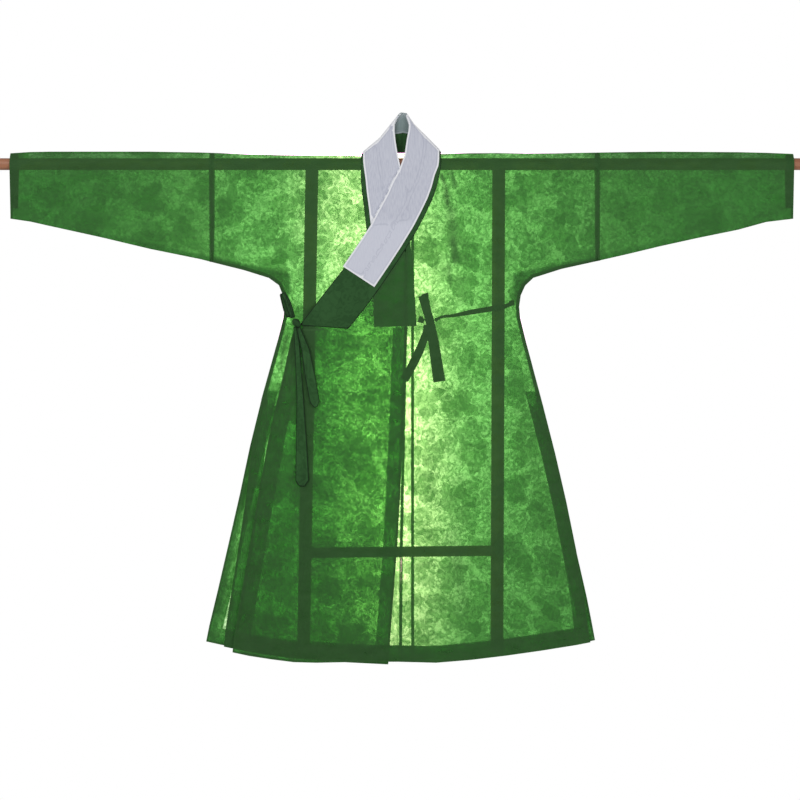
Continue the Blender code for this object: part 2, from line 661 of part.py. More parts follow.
def ribbon(collection, name, rows, across=None):
    """A flat tie along its table; its width lies across the run, or along a given direction."""
    middles = [Vector((row.x, row.y, row.z)) for row in rows]
    sections = []
    for number, row in enumerate(rows):
        run = middles[min(number + 1, len(rows) - 1)] - middles[max(number - 1, 0)]
        wide = across or FORWARD.cross(run).normalized()
        thin = run.cross(wide).normalized() * TIE_WALL / 2
        wide = wide * row.width / 2
        sections.append([middles[number] + wide + thin, middles[number] + wide - thin,
                         middles[number] - wide - thin, middles[number] - wide + thin])
    loft(collection, name, sections, DEEP_GREEN)


def ties(collection):
    ribbon(collection, "outer_tie_tail_long", OUTER_TAIL_LONG)
    ribbon(collection, "outer_tie_tail_short", OUTER_TAIL_SHORT)
    ribbon(collection, "outer_tie_loop", OUTER_LOOP, FORWARD.cross(LOOP_AXIS).normalized())
    ribbon(collection, "inner_tie_ribbon", INNER_RIBBON)
    ribbon(collection, "inner_tie_tail", INNER_TAIL)
    ribbon(collection, "inner_tie_tab", INNER_TAB)
    ribbon(collection, "inner_tie_strap", INNER_STRAP)
    for knot in KNOTS:
        bm = bmesh.new()
        bmesh.ops.create_uvsphere(bm, u_segments=12, v_segments=8, radius=1.0)
        size = Vector((knot.half_width, knot.half_depth, knot.half_height))
        bmesh.ops.scale(bm, vec=size * MM, verts=bm.verts)
        bmesh.ops.translate(bm, vec=Vector((knot.x, knot.y, knot.z)) * MM, verts=bm.verts)
        add_piece(knot.name, bm, collection, DEEP_GREEN)


def rod_mesh(radius, length):
    bm = bmesh.new()
    bmesh.ops.create_cone(bm, cap_ends=True, segments=ROD_SIDES, radius1=radius * MM,
                          radius2=radius * MM, depth=length * MM)
    bmesh.ops.rotate(bm, verts=bm.verts, matrix=Matrix.Rotation(math.pi / 2, 3, "Y"))
    return bm


def upright_x(upright, z):
    return upright.x_top + (upright.x_foot - upright.x_top) * z / upright.z_foot


def bar(name, collection, place):
    """A square timber: place takes each corner's three signs and gives its point."""
    bm = bmesh.new()
    bmesh.ops.create_cube(bm, size=2.0)
    for vert in bm.verts:
        vert.co = Vector(place(*vert.co)) * MM
    return add_piece(name, bm, collection, WOOD)


def frame(collection, cutters):
    bm = rod_mesh(ROD_RADIUS, ROD_LENGTH)
    rims = [edge for edge in bm.edges if len({round(vert.co.x, 4) for vert in edge.verts}) == 1]
    bmesh.ops.bevel(bm, geom=rims, offset=ROD_CHAMFER * MM, segments=1, profile=0.5, affect="EDGES",
                    material=-1)
    add_piece("rod", bm, collection, WOOD)
    room = add_piece("rod_room", rod_mesh(ROD_RADIUS + JOINT_GAP, ROD_LENGTH), cutters, WOOD)
    room.hide_render = True
    room.display_type = "WIRE"
    for upright in UPRIGHTS:
        def corner(x, y, z, upright=upright):
            height = 0.0 if z > 0 else upright.z_foot
            return upright_x(upright, height) + x * UPRIGHT_WIDTH / 2, y * UPRIGHT_DEPTH / 2, height
        post = bar("upright_" + upright.side, collection, corner)
        saddle = post.modifiers.new("saddle", "BOOLEAN")
        saddle.object = room
        saddle.operation = "DIFFERENCE"
        saddle.solver = "EXACT"

    def corner(x, y, z):
        upright = UPRIGHTS[0] if x > 0 else UPRIGHTS[1]
        height = CROSSBAR_Z[upright.side] + z * CROSSBAR_HEIGHT / 2
        end = upright_x(upright, height) - x * (UPRIGHT_WIDTH / 2 + JOINT_GAP)
        return end, y * CROSSBAR_DEPTH / 2, height
    bar("crossbar", collection, corner)


def main():
    for old in list(bpy.data.objects):
        bpy.data.objects.remove(old, do_unlink=True)
    robe = bpy.data.collections.new("hanfu_robe_on_rod")
    cutters = bpy.data.collections.new("cutters")
    bpy.context.scene.collection.children.link(robe)
    bpy.context.scene.collection.children.link(cutters)
    frame(robe, cutters)
    body_panel(robe, "left", "outer")
    body_panel(robe, "right", "inner")
    overlap(robe)
    body_facings(robe)
    sleeve(robe, "left")
    sleeve(robe, "right")
    collar(robe)
    ties(robe)


main()
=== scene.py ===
# Hanfu robe of sheer green gauze, hung through its sleeves on a wooden rod: the finish of every piece
import math

import bmesh
import bpy
from mathutils import Matrix, Vector, kdtree, noise


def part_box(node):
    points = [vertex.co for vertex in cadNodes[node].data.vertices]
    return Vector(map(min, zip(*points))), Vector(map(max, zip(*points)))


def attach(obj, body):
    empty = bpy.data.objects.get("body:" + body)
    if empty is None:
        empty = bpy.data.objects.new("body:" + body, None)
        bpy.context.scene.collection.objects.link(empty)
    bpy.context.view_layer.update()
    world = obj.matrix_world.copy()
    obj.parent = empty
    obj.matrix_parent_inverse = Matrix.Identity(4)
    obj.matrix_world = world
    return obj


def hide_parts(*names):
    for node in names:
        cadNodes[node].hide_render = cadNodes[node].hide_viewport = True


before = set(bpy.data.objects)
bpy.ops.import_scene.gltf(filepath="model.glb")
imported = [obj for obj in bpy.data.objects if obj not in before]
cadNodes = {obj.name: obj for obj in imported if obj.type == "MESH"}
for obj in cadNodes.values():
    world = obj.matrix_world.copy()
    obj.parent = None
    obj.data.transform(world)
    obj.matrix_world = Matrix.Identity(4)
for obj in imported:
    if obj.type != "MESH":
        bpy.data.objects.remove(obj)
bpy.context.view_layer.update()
mergeDistance = 0.00001
fullTurn = 6.28
halfTurn = 3.14159

view = {"left": -0.987, "right": 0.977, "height": -0.579, "distance": 6.0}

light = {
    "ambient": 0.36,          # what the room gives from all sides
    "keyAt": (-1.9, -3.2, 1.3),
    "keyPower": 52,
    "fillAt": (2.4, -3.0, -0.4),
    "fillPower": 34,
    "lampSize": 2.2,
    "floorAt": -1.86,
    "floorRadius": 1.05,
    "glowAt": 0.22,           # the soft light behind the robe: how far back,
    "glowLeft": -0.95,        # how wide and how high it is,
    "glowRight": 0.95,
    "glowTop": 0.08,
    "glowFoot": -1.32,
    "glowOnCloth": 0.12,      # and its share that lights the cloth, beside what is seen through it
}

# Its bright places: middle across and up, half width and height, power in red, green and blue
glowSpots = (
    (-0.05, -0.40, 0.44, 0.90, (11.0, 5.2, 8.4)),
    (-0.15, -0.075, 0.10, 0.17, (27.0, 5.0, 18.0)),
    (-0.035, -0.66, 0.112, 0.50, (70.0, 13.0, 44.0)),
    (-0.36, -0.75, 0.12, 0.40, (2.5, 1.2, 2.5)),
    (0.0, 0.045, 4.0, 0.010, (2.4, 0.4, 2.9)),
)


# adds a shader node; plain names set properties, in0, in1 ... set or link its inputs
def addNode(tree, kind, **values):
    node = tree.nodes.new(kind)
    for name, value in values.items():
        if name.startswith("in") and name[2:].isdigit():
            socket = node.inputs[int(name[2:])]
            if isinstance(value, bpy.types.NodeSocket):
                tree.links.new(value, socket)
            else:
                socket.default_value = value
        else:
            setattr(node, name, value)
    return node


def calc(tree, operation, first, second=0.0, third=0.0, clamp=False):
    return addNode(tree, "ShaderNodeMath", operation=operation, use_clamp=clamp,
                   in0=first, in1=second, in2=third).outputs[0]


# rises smoothly from 0 at low to 1 at high, or falls where low is the greater
def ramp(tree, value, low, high):
    return addNode(tree, "ShaderNodeMapRange", interpolation_type="SMOOTHSTEP",
                   in0=value, in1=low, in2=high).outputs[0]


def combine(tree, operation, *inputs):
    values = {"in" + str(number): value for number, value in enumerate(inputs)}
    return addNode(tree, "ShaderNodeVectorMath", operation=operation, **values).outputs[0]


def splitPlace(tree, place):
    return addNode(tree, "ShaderNodeSeparateXYZ", in0=place).outputs


def objectPlace(tree):
    return addNode(tree, "ShaderNodeTexCoord").outputs["Object"]


def clothMap(tree):
    return addNode(tree, "ShaderNodeUVMap", uv_map="cloth").outputs[0]


def pointValue(tree, name):
    return addNode(tree, "ShaderNodeAttribute", attribute_name=name).outputs["Fac"]


def mixColour(tree, share, first, second):
    return addNode(tree, "ShaderNodeMix", data_type="RGBA", in0=share, in6=first, in7=second).outputs[2]


def setSockets(node, values):
    for name, value in values.items():
        node.inputs[name].default_value = value


def useGroup(tree, group, place):
    node = addNode(tree, "ShaderNodeGroup", node_tree=group)
    tree.links.new(place, node.inputs[0])
    return node


def bumpNormal(tree, height, strength, distance):
    bump = addNode(tree, "ShaderNodeBump")
    setSockets(bump, {"Strength": strength, "Distance": distance})
    tree.links.new(height, bump.inputs["Height"])
    return bump.outputs[0]


def newMaterial(name, empty=False):
    material = bpy.data.materials.new(name)
    material.use_nodes = True
    if empty:
        material.node_tree.nodes.clear()
    return material, material.node_tree


def newGroup(name, inputs, outputs):
    group = bpy.data.node_groups.new(name, "ShaderNodeTree")
    for inOut, sockets in (("INPUT", inputs), ("OUTPUT", outputs)):
        for label, kind in sockets:
            group.interface.new_socket(label, in_out=inOut, socket_type="NodeSocket" + kind)
    return group


def makeCamera():
    camera = bpy.data.objects.new("camera", bpy.data.cameras.new("camera"))
    bpy.context.scene.collection.objects.link(camera)
    camera.location = ((view["left"] + view["right"]) / 2, -view["distance"], view["height"])
    camera.rotation_euler = (math.pi / 2, 0, 0)
    camera.data.sensor_width = 36
    camera.data.lens = 36 * view["distance"] / (view["right"] - view["left"])
    camera.data.clip_end = 50
    bpy.context.scene.camera = camera


def makeLamp(name, place, power):
    lamp = bpy.data.lights.new(name, "AREA")
    lamp.shape = "DISK"
    lamp.size = light["lampSize"]
    lamp.energy = power
    holder = bpy.data.objects.new(name, lamp)
    holder.location = place
    towards = Vector((0, 0, -0.5)) - Vector(place)
    holder.rotation_euler = towards.to_track_quat("-Z", "Y").to_euler()
    holder.visible_camera = False
    bpy.context.scene.collection.objects.link(holder)


def makeWorld():
    world = bpy.data.worlds.new("studio")
    bpy.context.scene.world = world
    world.use_nodes = True
    tree = world.node_tree
    tree.nodes.clear()
    path = addNode(tree, "ShaderNodeLightPath")
    strength = calc(tree, "MULTIPLY_ADD", path.outputs["Is Camera Ray"],
                    1.0 - light["ambient"], light["ambient"])
    sky = addNode(tree, "ShaderNodeBackground", in0=(1.0, 1.0, 1.0, 1.0), in1=strength)
    addNode(tree, "ShaderNodeOutputWorld", in0=sky.outputs[0])


# The glow is cut off along the robe's outline, so that none shows beside it: places across from the middle
# and down from the rod, and slopes
glowEdge = {
    "bodyHalf": 0.290,
    "flareFrom": 0.30,
    "flare": 0.2177,
    "hemAt": 1.236,
    "hemRise": 0.11,
    "sleeveFoot": 0.323,
    "sleeveRise": -0.2129,
    "cuffAt": 0.97,
    "foldAt": -0.050,
    "soft": {"side": 0.012, "hem": 0.014, "cuff": 0.02, "fold": 0.004},
}


# brightness of all the spots at a place on the glow, in red, green and blue
def glowColour(tree, place):
    total = (0.0, 0.0, 0.0)
    for across, height, wide, tall, power in glowSpots:
        powers = []
        for axis, middle, half in ((0, across, wide), (2, height, tall)):
            away = calc(tree, "MULTIPLY", calc(tree, "SUBTRACT", place[axis], middle), 1 / half)
            powers.append(calc(tree, "POWER", away, 2.0))
        spot = calc(tree, "EXPONENT", calc(tree, "MULTIPLY", calc(tree, "ADD", *powers), -1.0))
        total = combine(tree, "MULTIPLY_ADD", power, spot, total)
    return total


def glowMask(tree, place):
    soft = glowEdge["soft"]
    across = calc(tree, "ABSOLUTE", place[0])
    down = calc(tree, "MULTIPLY", place[2], -1.0)
    below = calc(tree, "MAXIMUM", calc(tree, "SUBTRACT", down, glowEdge["flareFrom"]), 0.0)
    side = calc(tree, "MULTIPLY_ADD", below, glowEdge["flare"], glowEdge["bodyHalf"])
    inBody = ramp(tree, calc(tree, "SUBTRACT", side, across), 0.0, soft["side"])
    hem = calc(tree, "MULTIPLY_ADD", across, glowEdge["hemRise"], down)
    hem = ramp(tree, hem, glowEdge["hemAt"], glowEdge["hemAt"] - soft["hem"])
    inBody = calc(tree, "MULTIPLY", inBody, hem)
    foot = calc(tree, "MULTIPLY_ADD", across, glowEdge["sleeveRise"], glowEdge["sleeveFoot"])
    inSleeve = calc(tree, "MULTIPLY", ramp(tree, calc(tree, "SUBTRACT", foot, down), 0.0, soft["side"]),
                    ramp(tree, across, glowEdge["cuffAt"], glowEdge["cuffAt"] - soft["cuff"]))
    return calc(tree, "MULTIPLY", calc(tree, "MAXIMUM", inBody, inSleeve),
                ramp(tree, down, glowEdge["foldAt"], glowEdge["foldAt"] + soft["fold"]))


# shines towards the robe's back and is clear from behind
def glowMaterial():
    material, tree = newMaterial("glow", empty=True)
    place = splitPlace(tree, objectPlace(tree))
    behind = addNode(tree, "ShaderNodeNewGeometry").outputs["Backfacing"]
    facing = calc(tree, "SUBTRACT", glowMask(tree, place), behind, clamp=True)
    seen = calc(tree, "MULTIPLY_ADD", addNode(tree, "ShaderNodeLightPath").outputs["Is Camera Ray"],
                1 - light["glowOnCloth"], light["glowOnCloth"])
    emission = addNode(tree, "ShaderNodeEmission", in0=glowColour(tree, place),
                       in1=calc(tree, "MULTIPLY", seen, facing))
    clear = addNode(tree, "ShaderNodeBsdfTransparent")
    both = addNode(tree, "ShaderNodeAddShader", in0=emission.outputs[0], in1=clear.outputs[0])
    addNode(tree, "ShaderNodeOutputMaterial", in0=both.outputs[0])
    return material


def makeStage():
    makeWorld()
    makeLamp("keyLamp", light["keyAt"], light["keyPower"])
    makeLamp("fillLamp", light["fillAt"], light["fillPower"])
    bm = bmesh.new()
    bmesh.ops.create_grid(bm, x_segments=1, y_segments=1, size=0.5)
    glowSize = (light["glowRight"] - light["glowLeft"], light["glowTop"] - light["glowFoot"], 1)
    bmesh.ops.scale(bm, vec=glowSize, verts=bm.verts)
    bmesh.ops.rotate(bm, matrix=Matrix.Rotation(math.pi / 2, 3, "X"), verts=bm.verts)
    bmesh.ops.translate(bm, vec=((light["glowLeft"] + light["glowRight"]) / 2, light["glowAt"],
                                 (light["glowTop"] + light["glowFoot"]) / 2), verts=bm.verts)
    addObject("softLight", bm, glowMaterial())
    bm = bmesh.new()
    bmesh.ops.create_circle(bm, cap_ends=True, segments=96, radius=light["floorRadius"])
    bmesh.ops.translate(bm, vec=(0, 0, light["floorAt"]), verts=bm.verts)
    floorMaterial, tree = newMaterial("paleFloor")
    setSockets(tree.nodes["Principled BSDF"], {"Base Color": (0.82, 0.82, 0.81, 1), "Roughness": 0.8})
    addObject("floor", bm, floorMaterial)
    settings = bpy.context.scene.view_settings
    settings.view_transform = "Standard"
    settings.look = "None"
    bpy.context.scene.cycles.transparent_max_bounces = 24
    print("stage ready")


def addObject(name, bm, material, smooth=True):
    mesh = bpy.data.meshes.new(name)
    bm.to_mesh(mesh)
    bm.free()
    mesh.materials.append(material)
    if smooth:
        mesh.shade_smooth()
    piece = bpy.data.objects.new(name, mesh)
    bpy.context.scene.collection.objects.link(piece)
    return piece


pattern = {
    "flowerRepeat": 0.112,
    "rim": 0.33,              # of its own cell
    "lobes": ((3.0, 0, 0.075), (5.0, 1, 0.055), (14.0, 0, 0.022)),
    "petalRings": 34.0,
    "flowerShare": (0.40, 0.44),
    "motifDepth": 0.55,
    "markDepth": 0.40,
    "curlRepeat": 0.042,
    "curlPitch": 0.30,
    "curlShare": (0.52, 0.58),
    "curlDepth": 0.75,
    "waver": 0.017,
    "waverScale": 13.0,
    "fineWaver": 0.0028,
    "fineWaverScale": 90.0,
    "sprigScale": 62.0,       # small leaves and scrolls of the ground
    "sprigTwist": 1.3,
    "sprigDepth": 0.62,
    "mottleScale": 230.0,
    "mottle": 0.12,
    "slubScale": 24.0,
}


def noiseAt(tree, place, scale, detail=1.0, twist=0.0, colour=False, flat=True):
    cloud = addNode(tree, "ShaderNodeTexNoise", noise_dimensions="2D" if flat else "3D")
    tree.links.new(place, cloud.inputs["Vector"])
    setSockets(cloud, {"Scale": scale, "Detail": detail, "Distortion": twist})
    return cloud.outputs["Color" if colour else "Fac"]


# moves a place about by a soft cloud, so that shapes come out uneven
def nudge(tree, place, scale, reach):
    away = combine(tree, "SUBTRACT", noiseAt(tree, place, scale, colour=True), (0.5, 0.5, 0.5))
    return combine(tree, "MULTIPLY_ADD", away, (reach, reach, 0.0), place)


# scattered middles: the distance from the nearest, the turn round it and three chance values
def cells(tree, place, repeat, loose):
    cell = addNode(tree, "ShaderNodeTexVoronoi", voronoi_dimensions="2D")
    tree.links.new(place, cell.inputs["Vector"])
    setSockets(cell, {"Scale": 1 / repeat, "Randomness": loose})
    parts = splitPlace(tree, combine(tree, "SUBTRACT", place, cell.outputs["Position"]))
    chance = splitPlace(tree, cell.outputs["Color"])
    return cell.outputs["Distance"], calc(tree, "ARCTAN2", parts[1], parts[0]), chance


# a rim that swings in and out as it goes round
def waves(tree, turn, count, start, depth, base):
    angle = calc(tree, "MULTIPLY_ADD", turn, count, calc(tree, "MULTIPLY", start, fullTurn))
    return calc(tree, "MULTIPLY_ADD", calc(tree, "COSINE", angle), depth, base)


# lobed leaves and flower heads, dense and smooth; each lobe row is count, chance, depth
def motifs(group, place):
    away, turn, chance = cells(group, place, pattern["flowerRepeat"], 0.85)
    rim = pattern["rim"]
    for count, start, depth in pattern["lobes"]:
        rim = waves(group, turn, count, chance[start], depth, rim)
    inside = calc(group, "SUBTRACT", rim, away)
    scallop = waves(group, turn, 7.0, chance[2], 0.9, calc(group, "MULTIPLY", away, pattern["petalRings"]))
    petals = ramp(group, calc(group, "SINE", scallop), -0.70, -0.25)
    isFlower = ramp(group, chance[2], *pattern["flowerShare"])
    vein = calc(group, "ABSOLUTE", calc(group, "SINE", calc(group, "MULTIPLY", turn, 2.5)))
    vein = ramp(group, vein, 0.05, 0.16)
    marks = calc(group, "MULTIPLY_ADD", calc(group, "SUBTRACT", petals, vein), isFlower, vein)
    dense = calc(group, "MULTIPLY_ADD", marks, pattern["markDepth"], pattern["motifDepth"])
    return calc(group, "MULTIPLY", ramp(group, inside, 0.0, 0.022), dense), inside


def curls(group, place):
    away, turn, chance = cells(group, place, pattern["curlRepeat"], 1.0)
    arm = calc(group, "COSINE", calc(group, "MULTIPLY_ADD", away, fullTurn / pattern["curlPitch"],
                                    calc(group, "MULTIPLY_ADD", chance[1], fullTurn, turn)))
    curl = calc(group, "MULTIPLY", ramp(group, arm, 0.0, 0.5), ramp(group, away, 0.52, 0.42))
    share = calc(group, "MULTIPLY", ramp(group, chance[0], *pattern["curlShare"]), pattern["curlDepth"])
    return calc(group, "MULTIPLY", curl, share)


def sprigs(group, place):
    cloud = noiseAt(group, place, pattern["sprigScale"], 1.5, pattern["sprigTwist"])
    return calc(group, "MULTIPLY", ramp(group, cloud, 0.47, 0.57), pattern["sprigDepth"])


# peonies, leaves and scrolls on a ground of sprigs and tendrils, with the uneven thickness of the thread
def jacquardGroup():
    group = newGroup("jacquard", [("Place", "Vector")], [("Figure", "Float"), ("Slub", "Float")])
    start = addNode(group, "NodeGroupInput").outputs[0]
    place = nudge(group, nudge(group, start, pattern["waverScale"], pattern["waver"]),
                  pattern["fineWaverScale"], pattern["fineWaver"])
    large, inside = motifs(group, place)
    ground = calc(group, "MAXIMUM", curls(group, place), sprigs(group, start))
    ground = calc(group, "MULTIPLY", ground, ramp(group, inside, 0.01, -0.02))
    mottle = calc(group, "MULTIPLY_ADD", noiseAt(group, start, pattern["mottleScale"], 2.0), 2.0, -1.0)
    figure = calc(group, "MULTIPLY_ADD", mottle, pattern["mottle"],
                  calc(group, "MAXIMUM", large, ground), clamp=True)
    stretched = combine(group, "MULTIPLY", start, (1.0, 2.0, 1.0))
    addNode(group, "NodeGroupOutput", in0=figure, in1=noiseAt(group, stretched, pattern["slubScale"], 1.0))
    return group


# height of a plain weave: over and under threads of a given pitch on the cloth's own map
def weaveGroup():
    group = newGroup("plainWeave", [("Place", "Vector"), ("Threads", "Float")], [("Height", "Float")])
    inputs = addNode(group, "NodeGroupInput").outputs
    scaled = addNode(group, "ShaderNodeVectorMath", operation="SCALE", in0=inputs[0])
    group.links.new(inputs[1], scaled.inputs["Scale"])
    parts = splitPlace(group, scaled.outputs[0])
    threads = [calc(group, "SINE", calc(group, "MULTIPLY", part, halfTurn)) for part in parts[:2]]
    heights = [calc(group, "ABSOLUTE", thread) for thread in threads]
    addNode(group, "NodeGroupOutput", in0=calc(group, "MAXIMUM", *heights))
    return group


def weaveNormal(tree, uv, threads, strength, distance):
    weave = useGroup(tree, plainWeave, uv)
    weave.inputs[1].default_value = threads
    return bumpNormal(tree, weave.outputs[0], strength, distance)


gauze = {
    "front": (0.090, 0.226, 0.075, 1),        # the thread, lit from the front
    "frontFigure": (0.064, 0.174, 0.054, 1),
    "through": (0.20, 0.62, 0.12, 1),         # light scattered through the thread
    "throughFigure": (0.10, 0.42, 0.06, 1),
    "see": (0.270, 0.640, 0.245, 1),          # what is seen through the cloth takes this colour
    "seeFigure": (0.145, 0.470, 0.125, 1),
    "open": 0.54,                             # share of a sight line that passes the threads
    "openFigure": 0.33,
    "scatter": 0.22,                          # share of the rest that comes out behind
    "threads": 1100.0,
    "weaveHeight": (0.25, 0.0003),
    "finish": {"Roughness": 0.6, "Specular IOR Level": 0.2, "Sheen Weight": 0.06, "Sheen Roughness": 0.4,
               "Sheen Tint": (0.6, 1.0, 0.55, 1)},
    "frontShade": (0.01, 0.04, 0.01, 1),      # painted shade in the hollow of a crease, and how strongly it shows
    "throughShade": (0.01, 0.05, 0.01, 1),
    "shadeOnFront": 0.45,
    "shadeThrough": 0.7,
    "shadeOnOpen": -0.75,
}


# sheer figured cloth: thread, light through the thread, and open ground between
def gauzeMaterial(name, openness=1.0, passing=1.0, contrast=0.95):
    material, tree = newMaterial(name, empty=True)
    uv = clothMap(tree)
    figure, slub = useGroup(tree, jacquard, uv).outputs[:2]
    figure = calc(tree, "MULTIPLY_ADD", figure, contrast, 0.5 * (1 - contrast))
    # painted shade of the creases darkens the thread's colour and closes the open ground
    shade = pointValue(tree, "shade")
    front = mixColour(tree, figure, gauze["front"], gauze["frontFigure"])
    front = mixColour(tree, calc(tree, "MULTIPLY", shade, gauze["shadeOnFront"]), front, gauze["frontShade"])
    through = mixColour(tree, figure, gauze["through"], gauze["throughFigure"])
    dim = calc(tree, "MULTIPLY_ADD", shade, gauze["shadeThrough"] * passing, 1 - passing)
    through = mixColour(tree, dim, through, gauze["throughShade"])
    thread = addNode(tree, "ShaderNodeBsdfPrincipled", in0=front)
    setSockets(thread, gauze["finish"])
    tree.links.new(weaveNormal(tree, uv, gauze["threads"], *gauze["weaveHeight"]), thread.inputs["Normal"])
    glow = addNode(tree, "ShaderNodeBsdfTranslucent", in0=through)
    threads = addNode(tree, "ShaderNodeMixShader", in0=gauze["scatter"],
                      in1=thread.outputs[0], in2=glow.outputs[0])
    gaps = calc(tree, "MULTIPLY_ADD", figure, (gauze["openFigure"] - gauze["open"]) * openness,
                gauze["open"] * openness)
    gaps = calc(tree, "MULTIPLY", gaps, calc(tree, "MULTIPLY_ADD", slub, 0.4, 0.8))
    closed = calc(tree, "MULTIPLY_ADD", shade, gauze["shadeOnOpen"], 1.0)
    gaps = calc(tree, "MULTIPLY", gaps, closed, clamp=True)
    seen = mixColour(tree, figure, gauze["see"], gauze["seeFigure"])
    clear = addNode(tree, "ShaderNodeBsdfTransparent", in0=seen)
    whole = addNode(tree, "ShaderNodeMixShader", in0=gaps, in1=threads.outputs[0], in2=clear.outputs[0])
    addNode(tree, "ShaderNodeOutputMaterial", in0=whole.outputs[0])
    return material


band = {
    "ground": (0.018, 0.076, 0.017, 1),
    "figure": (0.028, 0.104, 0.026, 1),
    "line": 0.14,             # painted shade along the outline, and how softly it ends, in centimetres
    "lineFade": 0.08,
    # the colour of the painted shade
    "dark": (0.002, 0.008, 0.003, 1),
    "foldHalf": 0.0018,       # of the crease where the band is folded, in metres, and its dark core
    "foldCore": 0.0006,
    "foldShade": 0.5,
    "behindFold": 0.22,       # shade past the crease
    "weaveHeight": (0.3, 0.0004),
    "finish": {"Roughness": 0.62, "Specular IOR Level": 0.2, "Sheen Weight": 0.05,
               "Sheen Tint": (0.6, 1.0, 0.55, 1)},
}


# several layers of the gauze pressed together: nearly solid, the figure still shows
def bandMaterial(name, factor=1.0, foldAt=None):
    material, tree = newMaterial(name)
    shader = tree.nodes["Principled BSDF"]
    uv = clothMap(tree)
    colours = [[channel * factor for channel in band[part][:3]] + [1] for part in ("ground", "figure")]
    colour = mixColour(tree, useGroup(tree, jacquard, uv).outputs[0], *colours)
    # painted shade: darker along the outline, and where the shade attribute marks gathers, wraps and gaps
    line = ramp(tree, pointValue(tree, "near"), 1 - band["line"] - band["lineFade"], 1 - band["line"])
    shade = calc(tree, "MAXIMUM", pointValue(tree, "shade"), line)
    if foldAt is not None:
        away = calc(tree, "SUBTRACT", splitPlace(tree, objectPlace(tree))[0], foldAt)
        fold = ramp(tree, calc(tree, "ABSOLUTE", away), band["foldHalf"], band["foldCore"])
        behind = calc(tree, "MULTIPLY", ramp(tree, away, 0.0, -0.0015), band["behindFold"])
        fold = calc(tree, "MAXIMUM", calc(tree, "MULTIPLY", fold, band["foldShade"]), behind)
        shade = calc(tree, "MAXIMUM", shade, fold)
    colour = mixColour(tree, calc(tree, "MULTIPLY", shade, 0.85), colour, band["dark"])
    tree.links.new(colour, shader.inputs["Base Color"])
    tree.links.new(weaveNormal(tree, uv, gauze["threads"], *band["weaveHeight"]), shader.inputs["Normal"])
    setSockets(shader, band["finish"])
    return material


guardCloth = {
    "outside": (0.66, 0.68, 0.77, 1),
    "outsideWorn": (0.58, 0.60, 0.70, 1),
    # painted highlight on the turned rim
    "outsideRim": (0.95, 0.96, 1.0, 1),
    "inside": (0.245, 0.315, 0.310, 1),   # shaded, at the back of the neck
    "insideWorn": (0.205, 0.270, 0.265, 1),
    # painted highlight on the turned rim, in the shaded copy
    "insideRim": (0.36, 0.42, 0.43, 1),
    # painted light: the guard's colour below the crease
    "low": (0.74, 0.76, 0.86, 1),
    "foldAt": -0.137,         # pressed flat below this crease, and painted lighter there, as more light falls on it
    "rimWidth": 0.36,         # turned edge with a painted highlight, and the row of stitches inside it, in centimetres
    "stitchAt": 0.62,
    "stitch": (0.42, 0.44, 0.54, 1),
    "stitchShade": 0.30,
    "lowShade": 0.6,
    "threads": 620.0,
    "weaveHeight": (0.35, 0.0005),
    "finish": {"Roughness": 0.85, "Specular IOR Level": 0.2},
}


# white lawn with a fine weave; the turned rim has a painted highlight, the part below the crease is painted
# lighter, and the inside of the neck is a copy painted in shade
def guardMaterial(name="guardCloth", inside=False):
    material, tree = newMaterial(name)
    shader = tree.nodes["Principled BSDF"]
    uv = clothMap(tree)
    side = "inside" if inside else "outside"
    streak = noiseAt(tree, combine(tree, "MULTIPLY", uv, (8.0, 1.0, 1.0)), 60.0, 3.0)
    colour = mixColour(tree, ramp(tree, streak, 0.35, 0.7), guardCloth[side], guardCloth[side + "Worn"])
    height = splitPlace(tree, objectPlace(tree))[2]
    # painted light: lighter below the crease
    low = ramp(tree, height, guardCloth["foldAt"] + 0.01, guardCloth["foldAt"] - 0.02)
    colour = mixColour(tree, calc(tree, "MULTIPLY", low, guardCloth["lowShade"]), colour, guardCloth["low"])
    near = pointValue(tree, "near")
    away = calc(tree, "ABSOLUTE", calc(tree, "SUBTRACT", near, 1 - guardCloth["stitchAt"]))
    stitch = calc(tree, "MULTIPLY", ramp(tree, away, 0.10, 0.03), guardCloth["stitchShade"])
    colour = mixColour(tree, stitch, colour, guardCloth["stitch"])
    # painted highlight along the turned rim
    rim = ramp(tree, near, 1 - guardCloth["rimWidth"] - 0.06, 1 - guardCloth["rimWidth"] + 0.02)
    colour = mixColour(tree, rim, colour, guardCloth[side + "Rim"])
    tree.links.new(colour, shader.inputs["Base Color"])
    normal = weaveNormal(tree, uv, guardCloth["threads"], *guardCloth["weaveHeight"])
    tree.links.new(normal, shader.inputs["Normal"])
    setSockets(shader, guardCloth["finish"])
    return material


wood = {
    "light": (0.53, 0.235, 0.125, 1),
    "dark": (0.34, 0.138, 0.072, 1),
    "ringScale": 55.0,
    "poreScale": 495.0,
    "stretch": 0.045,
    "poreHeight": (0.3, 0.0008),
}


# wood grain: long streaks along X, finer pores between them
def grainGroup():
    group = newGroup("woodGrain", [("Place", "Vector")], [("Streak", "Float"), ("Pore", "Float")])
    place = addNode(group, "NodeGroupInput").outputs[0]
    drawn = combine(group, "MULTIPLY", place, (wood["stretch"], 1.0, 1.0))
    addNode(group, "NodeGroupOutput", in0=noiseAt(group, drawn, wood["ringScale"], 2.0, flat=False),
            in1=noiseAt(group, drawn, wood["poreScale"], 3.0, flat=False))
    return group


